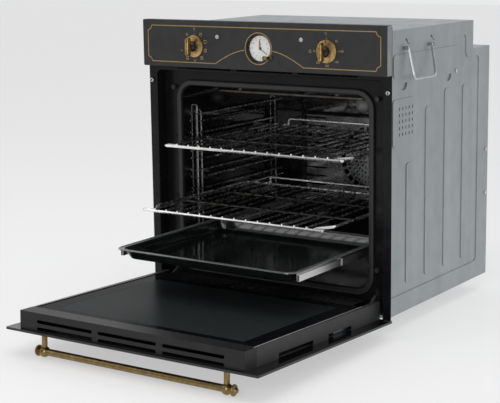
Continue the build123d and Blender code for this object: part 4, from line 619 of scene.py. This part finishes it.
def circle(radius, steps=ROUND_STEPS):
    """Points round a circle."""
    return [
        radius * Vector((math.cos(angle), math.sin(angle)))
        for angle in (math.tau * step / steps for step in range(steps))
    ]


def lathe(shape, profile, place):
    """Turns a profile of radius and height in millimetres about the place's upward axis."""
    thinnest = 0.01
    loft(shape, [
        [place @ Vector((*spot, height * MM)) for spot in circle(max(radius, thinnest) * MM)]
        for radius, height in profile
    ])


class Print:
    """Flat shapes that stand a hair above a plane: lines, rings and numbers."""

    def __init__(self, place):
        self.place = place
        self.shape = bmesh.new()

    def line(self, points, width, closed=False):
        """A line of even width through the points."""
        points = [Vector(point) for point in points]
        last = len(points) - 1
        rings = []
        for index, point in enumerate(points):
            ways = []
            if index > 0 or closed:
                ways.append((point - points[index - 1]).normalized())
            if index < last or closed:
                ways.append((points[(index + 1) % len(points)] - point).normalized())
            way = sum(ways, Vector((0, 0))).normalized()
            across = Vector((-way.y, way.x))
            reach = width / 2 / max(0.5, across.dot(Vector((-ways[0].y, ways[0].x))))
            rings.append(self.strip(point + across * reach, point - across * reach))
        loft(self.shape, rings, closed)

    def strip(self, left, right):
        """The section of a line between two points: one edge on the plane, the other a hair above it."""
        return [
            self.place @ Vector((*spot, height))
            for spot, height in ((left, 0), (right, 0), (right, PRINT), (left, PRINT))
        ]

    def strokes(self, lines, middle):
        """The lines of a sign, about its middle."""
        for stroke in lines:
            self.line([middle + MARK_SIZE * Vector(point) for point in stroke], MARK_WIDTH)

    def ring(self, centre, radius, width):
        """A round line."""
        self.line([Vector(centre) + spot for spot in circle(radius)], width, closed=True)

    def number(self, text, centre, size):
        """Upright numbers about a centre."""
        data = bpy.data.curves.new("number", "FONT")
        data.body = text
        data.size = size
        data.align_x = "CENTER"
        data.align_y = "CENTER"
        data.extrude = PRINT / 2
        carrier = bpy.data.objects.new("number", data)
        mesh = bpy.data.meshes.new_from_object(carrier)
        mesh.transform(self.place @ Matrix.Translation((*centre, PRINT / 2)))
        self.shape.from_mesh(mesh)
        bpy.data.objects.remove(carrier)
        bpy.data.curves.remove(data)
        bpy.data.meshes.remove(mesh)

    def finish(self, name, finish, slot, body):
        """Makes the object."""
        outward(self.shape)
        return add_piece(name, self.shape, finish, body)


def on_panel(y):
    """The upright plane at a depth, seen from the front."""
    return Matrix.Translation((0, y, 0)) @ Matrix.Rotation(QUARTER, 4, "X")


def at_clock(angle, radius, centre):
    """A point of an upright plane by its clockwise angle in degrees from the top."""
    return Vector(centre) + radius * Vector((math.sin(math.radians(angle)), math.cos(math.radians(angle))))


def swing(first, pull, last):
    """Points along a curve from the first point to the last, drawn towards a third."""
    first, pull, last = Vector(first), Vector(pull), Vector(last)
    return [
        first * (1 - share)**2 + pull * 2 * share * (1 - share) + last * share**2
        for share in (step / CURVE_STEPS for step in range(CURVE_STEPS + 1))
    ]


def notch(corner, towards):
    """Points round a notched right corner of the gold line, from its left end to its lower or upper one."""
    start, end = (math.radians(angle) for angle in NOTCH_ANGLES)
    arc = [
        corner + (LINE_NOTCH - LINE_STEP) * Vector((-math.cos(angle), towards * math.sin(angle)))
        for angle in (start + (end - start) * step / NOTCH_STEPS for step in range(NOTCH_STEPS + 1))
    ]
    return [corner + Vector((-LINE_NOTCH, 0)), *arc, corner + Vector((0, towards * LINE_NOTCH))]


def draw_panel_lines():
    """Gold line round the panel, which swings up to a ring about the clock."""
    half, bottom, top = LINE_FRAME
    right = swing(LINE_MEETS, LINE_PULL, (LINE_GAP, bottom))
    right += notch(Vector((half, bottom)), 1)
    right += reversed(notch(Vector((half, top)), -1))
    left = [Vector((-point.x, point.y)) for point in reversed(right)]
    lines = Print(on_panel(panel_face))
    lines.line(right + left, LINE_WIDTH)
    lines.ring(clock_centre, RING_RADIUS, LINE_WIDTH)
    lines.finish("panel_gold_line", "gold_paint", "antique_brass", "oven")


def draw_knob_marks():
    """Signs about the function knob and temperatures about the thermostat's."""
    marks = Print(on_panel(panel_face))
    function, thermostat = ((place.x, place.z) for place in knob_places.values())
    for angle, radius, strokes in SIGNS:
        marks.strokes(strokes, at_clock(angle, radius * MM, function))
    for angle, radius, text in DEGREES:
        marks.number(text, at_clock(angle, radius * MM, thermostat), NUMBER_SIZE)
    angle, radius, strokes = WEDGE
    marks.strokes(strokes, at_clock(angle, radius * MM, thermostat))
    for centre in (function, thermostat):
        marks.ring(at_clock(0, DOT_PLACE, centre), DOT_RADIUS / 2, DOT_RADIUS)
    for angle, end in TICKS:
        marks.line([at_clock(angle, reach, thermostat) for reach in (TICK_START, end * MM)], 2 * MARK_WIDTH)
    marks.finish("panel_signs", "sign_paint", "antique_brass", "oven")


def draw_dial():
    """Numbers and minute marks on the dial, and the dark ring round it."""
    marks = Print(on_panel(dial_low.y))
    for minute in range(60):
        ends, width = (MINUTE_MARK, MINUTE_WIDTH) if minute % 5 else (HOUR_MARK, HOUR_WIDTH)
        marks.line([at_clock(6 * minute, end, clock_centre) for end in ends], width)
    for hour in range(1, 13):
        marks.number(str(hour), at_clock(30 * hour, DIAL_NUMBERS, clock_centre), DIAL_NUMBER_SIZE)
    marks.finish("dial_marks", "black_plastic", "black_plastic", "oven")
    outer = dial_high.x - DIAL_EDGE
    surround = Print(on_panel(dial_low.y))
    surround.ring(clock_centre, (outer + DIAL_RADIUS) / 2, outer - DIAL_RADIUS)
    surround.finish("dial_surround", "panel_black", "black_plastic", "oven")


def mark_knobs():
    """A dark pointer near the top of each knob's skirt, laid on its dome."""
    for body, place in knob_places.items():
        rings = []
        for radius, half in POINTER:
            dome = panel_face - (SKIRT_DOME - SKIRT_FALL * (radius / SKIRT_RADIUS)**2) * MM
            rings.append([
                (place.x + side * half * MM, dome + depth * MM, place.z + radius * MM)
                for side, depth in POINTER_EDGES
            ])
        shape = bmesh.new()
        loft(shape, rings)
        outward(shape)
        add_piece(body + "_pointer", shape, "knob_black", body)


def cap_panel_ends():
    """Painted light on the panel's end faces: a lighter grey than its front, as where side light falls on them."""
    middle = (panel_low.y + panel_high.y) / 2
    width = panel_high.y - panel_low.y - 2 * EDGE_GAP
    for side, name in ((-1, "panel_end_left"), (1, "panel_end_right")):
        face = Matrix.Translation((side * panel_high.x, 0, 0))
        end = Print(face @ Matrix.Rotation(side * QUARTER, 4, "Y"))
        heights = (panel_low.z + EDGE_GAP, panel_high.z - EDGE_GAP)
        end.line([(-side * height, middle) for height in heights], width)
        end.finish(name, "lit_panel_end", "panel_black", "oven")


def on_door(y):
    """The plane at a depth inside the shut door, turned with it to its open place."""
    axis = Matrix.Translation(hinge_place)
    return axis @ Matrix.Rotation(door_angle, 4, "X") @ axis.inverted() @ on_panel(y)


def inside_face(node):
    """Depth of a door piece's inside face, with the door shut."""
    shut = Matrix.Rotation(-door_angle, 4, "X")
    return hinge_place.y + max((shut @ (vertex.co - hinge_place)).y for vertex in nodes[node].data.vertices)


def corners(half, bottom, top):
    """Corners of an upright rectangle about the middle of the oven."""
    return [(-half, bottom), (half, bottom), (half, top), (-half, top)]


def border_glass():
    """Black print round the window of the door's inner glass."""
    border = Print(on_door(inside_face("door_inner_glass") + PRINT))
    rings = [border.strip(outside, inside) for outside, inside in zip(corners(*BORDER), corners(*WINDOW))]
    loft(border.shape, rings, closed=True)
    border.finish("door_glass_border", "border_black", "black_glass", "door")


def trim_glass():
    """Painted highlight lines along the edges of the door's side channels, beside its inner glass."""
    half, bottom, top = BORDER
    highlight = Print(on_door(inside_face("door_channel_right") + PRINT))
    for side in (-1, 1):
        x = side * (half + GLASS_HIGHLIGHT + EDGE_GAP)
        highlight.line([(x, bottom), (x, top)], GLASS_HIGHLIGHT)
    highlight.finish("door_glass_highlight", "highlight_white", "bright_steel", "door")


def turn_handle_ends():
    """Turned brass ends of the handle: post, ball and stepped finial."""
    low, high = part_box("handle_bar")
    bar = (low + high) / 2
    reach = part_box("handle_ends")[1].x - FINIAL[-1][1] * MM
    ball = [(math.sqrt(HANDLE_BALL**2 - height**2), height) for height in BALL_HEIGHTS]
    knob = [(0.0, BALL_HEIGHTS[0]), *ball, *FINIAL]
    shape = bmesh.new()
    for side in (-1, 1):
        end = Matrix.Translation((side * reach, bar.y, bar.z))
        lathe(shape, knob, end @ Matrix.Rotation(side * QUARTER, 4, "Y"))
        lathe(shape, POST, end @ Matrix.Rotation(door_angle - QUARTER, 4, "X"))
    outward(shape)
    ends = add_piece("handle_ends_turned", shape, "handle_brass", "door", 40)
    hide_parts("handle_ends")


def tray_ring(inset, height):
    """A line round the tray with soft corners, by its distance in from the edge and its height."""
    corner = TRAY_CORNER - inset / 2 * MM
    ring = []
    for quarter, (side, end) in enumerate(((1, 1), (-1, 1), (-1, -1), (1, -1))):
        x = side * (tray_high.x - inset * MM - corner)
        y = (tray_high.y - inset * MM - corner) if end > 0 else (tray_low.y + inset * MM + corner)
        for step in range(CORNER_STEPS + 1):
            angle = QUARTER * (quarter + step / CORNER_STEPS)
            across, along = corner * math.cos(angle), corner * math.sin(angle)
            ring.append((x + across, y + along, tray_low.z + height * MM))
    return ring


def press_tray():
    """Baking tray pressed from enamelled sheet, with a beaded rim, dimpled sides and soft corners."""
    shape = bmesh.new()
    loft(shape, [tray_ring(*point) for point in TRAY_SECTION], open_start=True)
    outward(shape)
    bmesh.ops.solidify(shape, geom=shape.faces[:], thickness=TRAY_WALL)
    outward(shape)
    for side in (-1, 1):
        for index in range(DIMPLES):
            place = Matrix.Translation((
                side * (tray_high.x - DIMPLE_INSET), tray_low.y + (index + 1) * DIMPLE_PITCH,
                tray_low.z + DIMPLE_HEIGHT
            ))
            lathe(shape, DIMPLE_SECTION, place @ Matrix.Diagonal(DIMPLE_STRETCH))
    tray = add_piece("baking_tray_pressed", shape, "tray_enamel", "tray_carriage", 45)
    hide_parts("baking_tray")


def bush_flange():
    """Bright bushes in the screw holes of the flange."""
    screws = mounts["cabinet_screws"]
    reach = screws["dims"]["spacing_x_mm"] / 2 * MM
    shape = bmesh.new()
    for side in (-1, 1):
        place = Matrix.Translation((side * reach, BUSH_DEPTH, screws["pos_m"][2]))
        lathe(shape, BUSH_SECTION, place @ Matrix.Rotation(QUARTER, 4, "X"))
    outward(shape)
    add_piece("flange_bushes", shape, "bright_steel", "oven")


dress_nodes()
draw_panel_lines()
draw_knob_marks()
draw_dial()
cap_panel_ends()
mark_knobs()
border_glass()
trim_glass()
turn_handle_ends()
press_tray()
bush_flange()
place_camera()
lay_floor()
light_world()
hang_lamps()
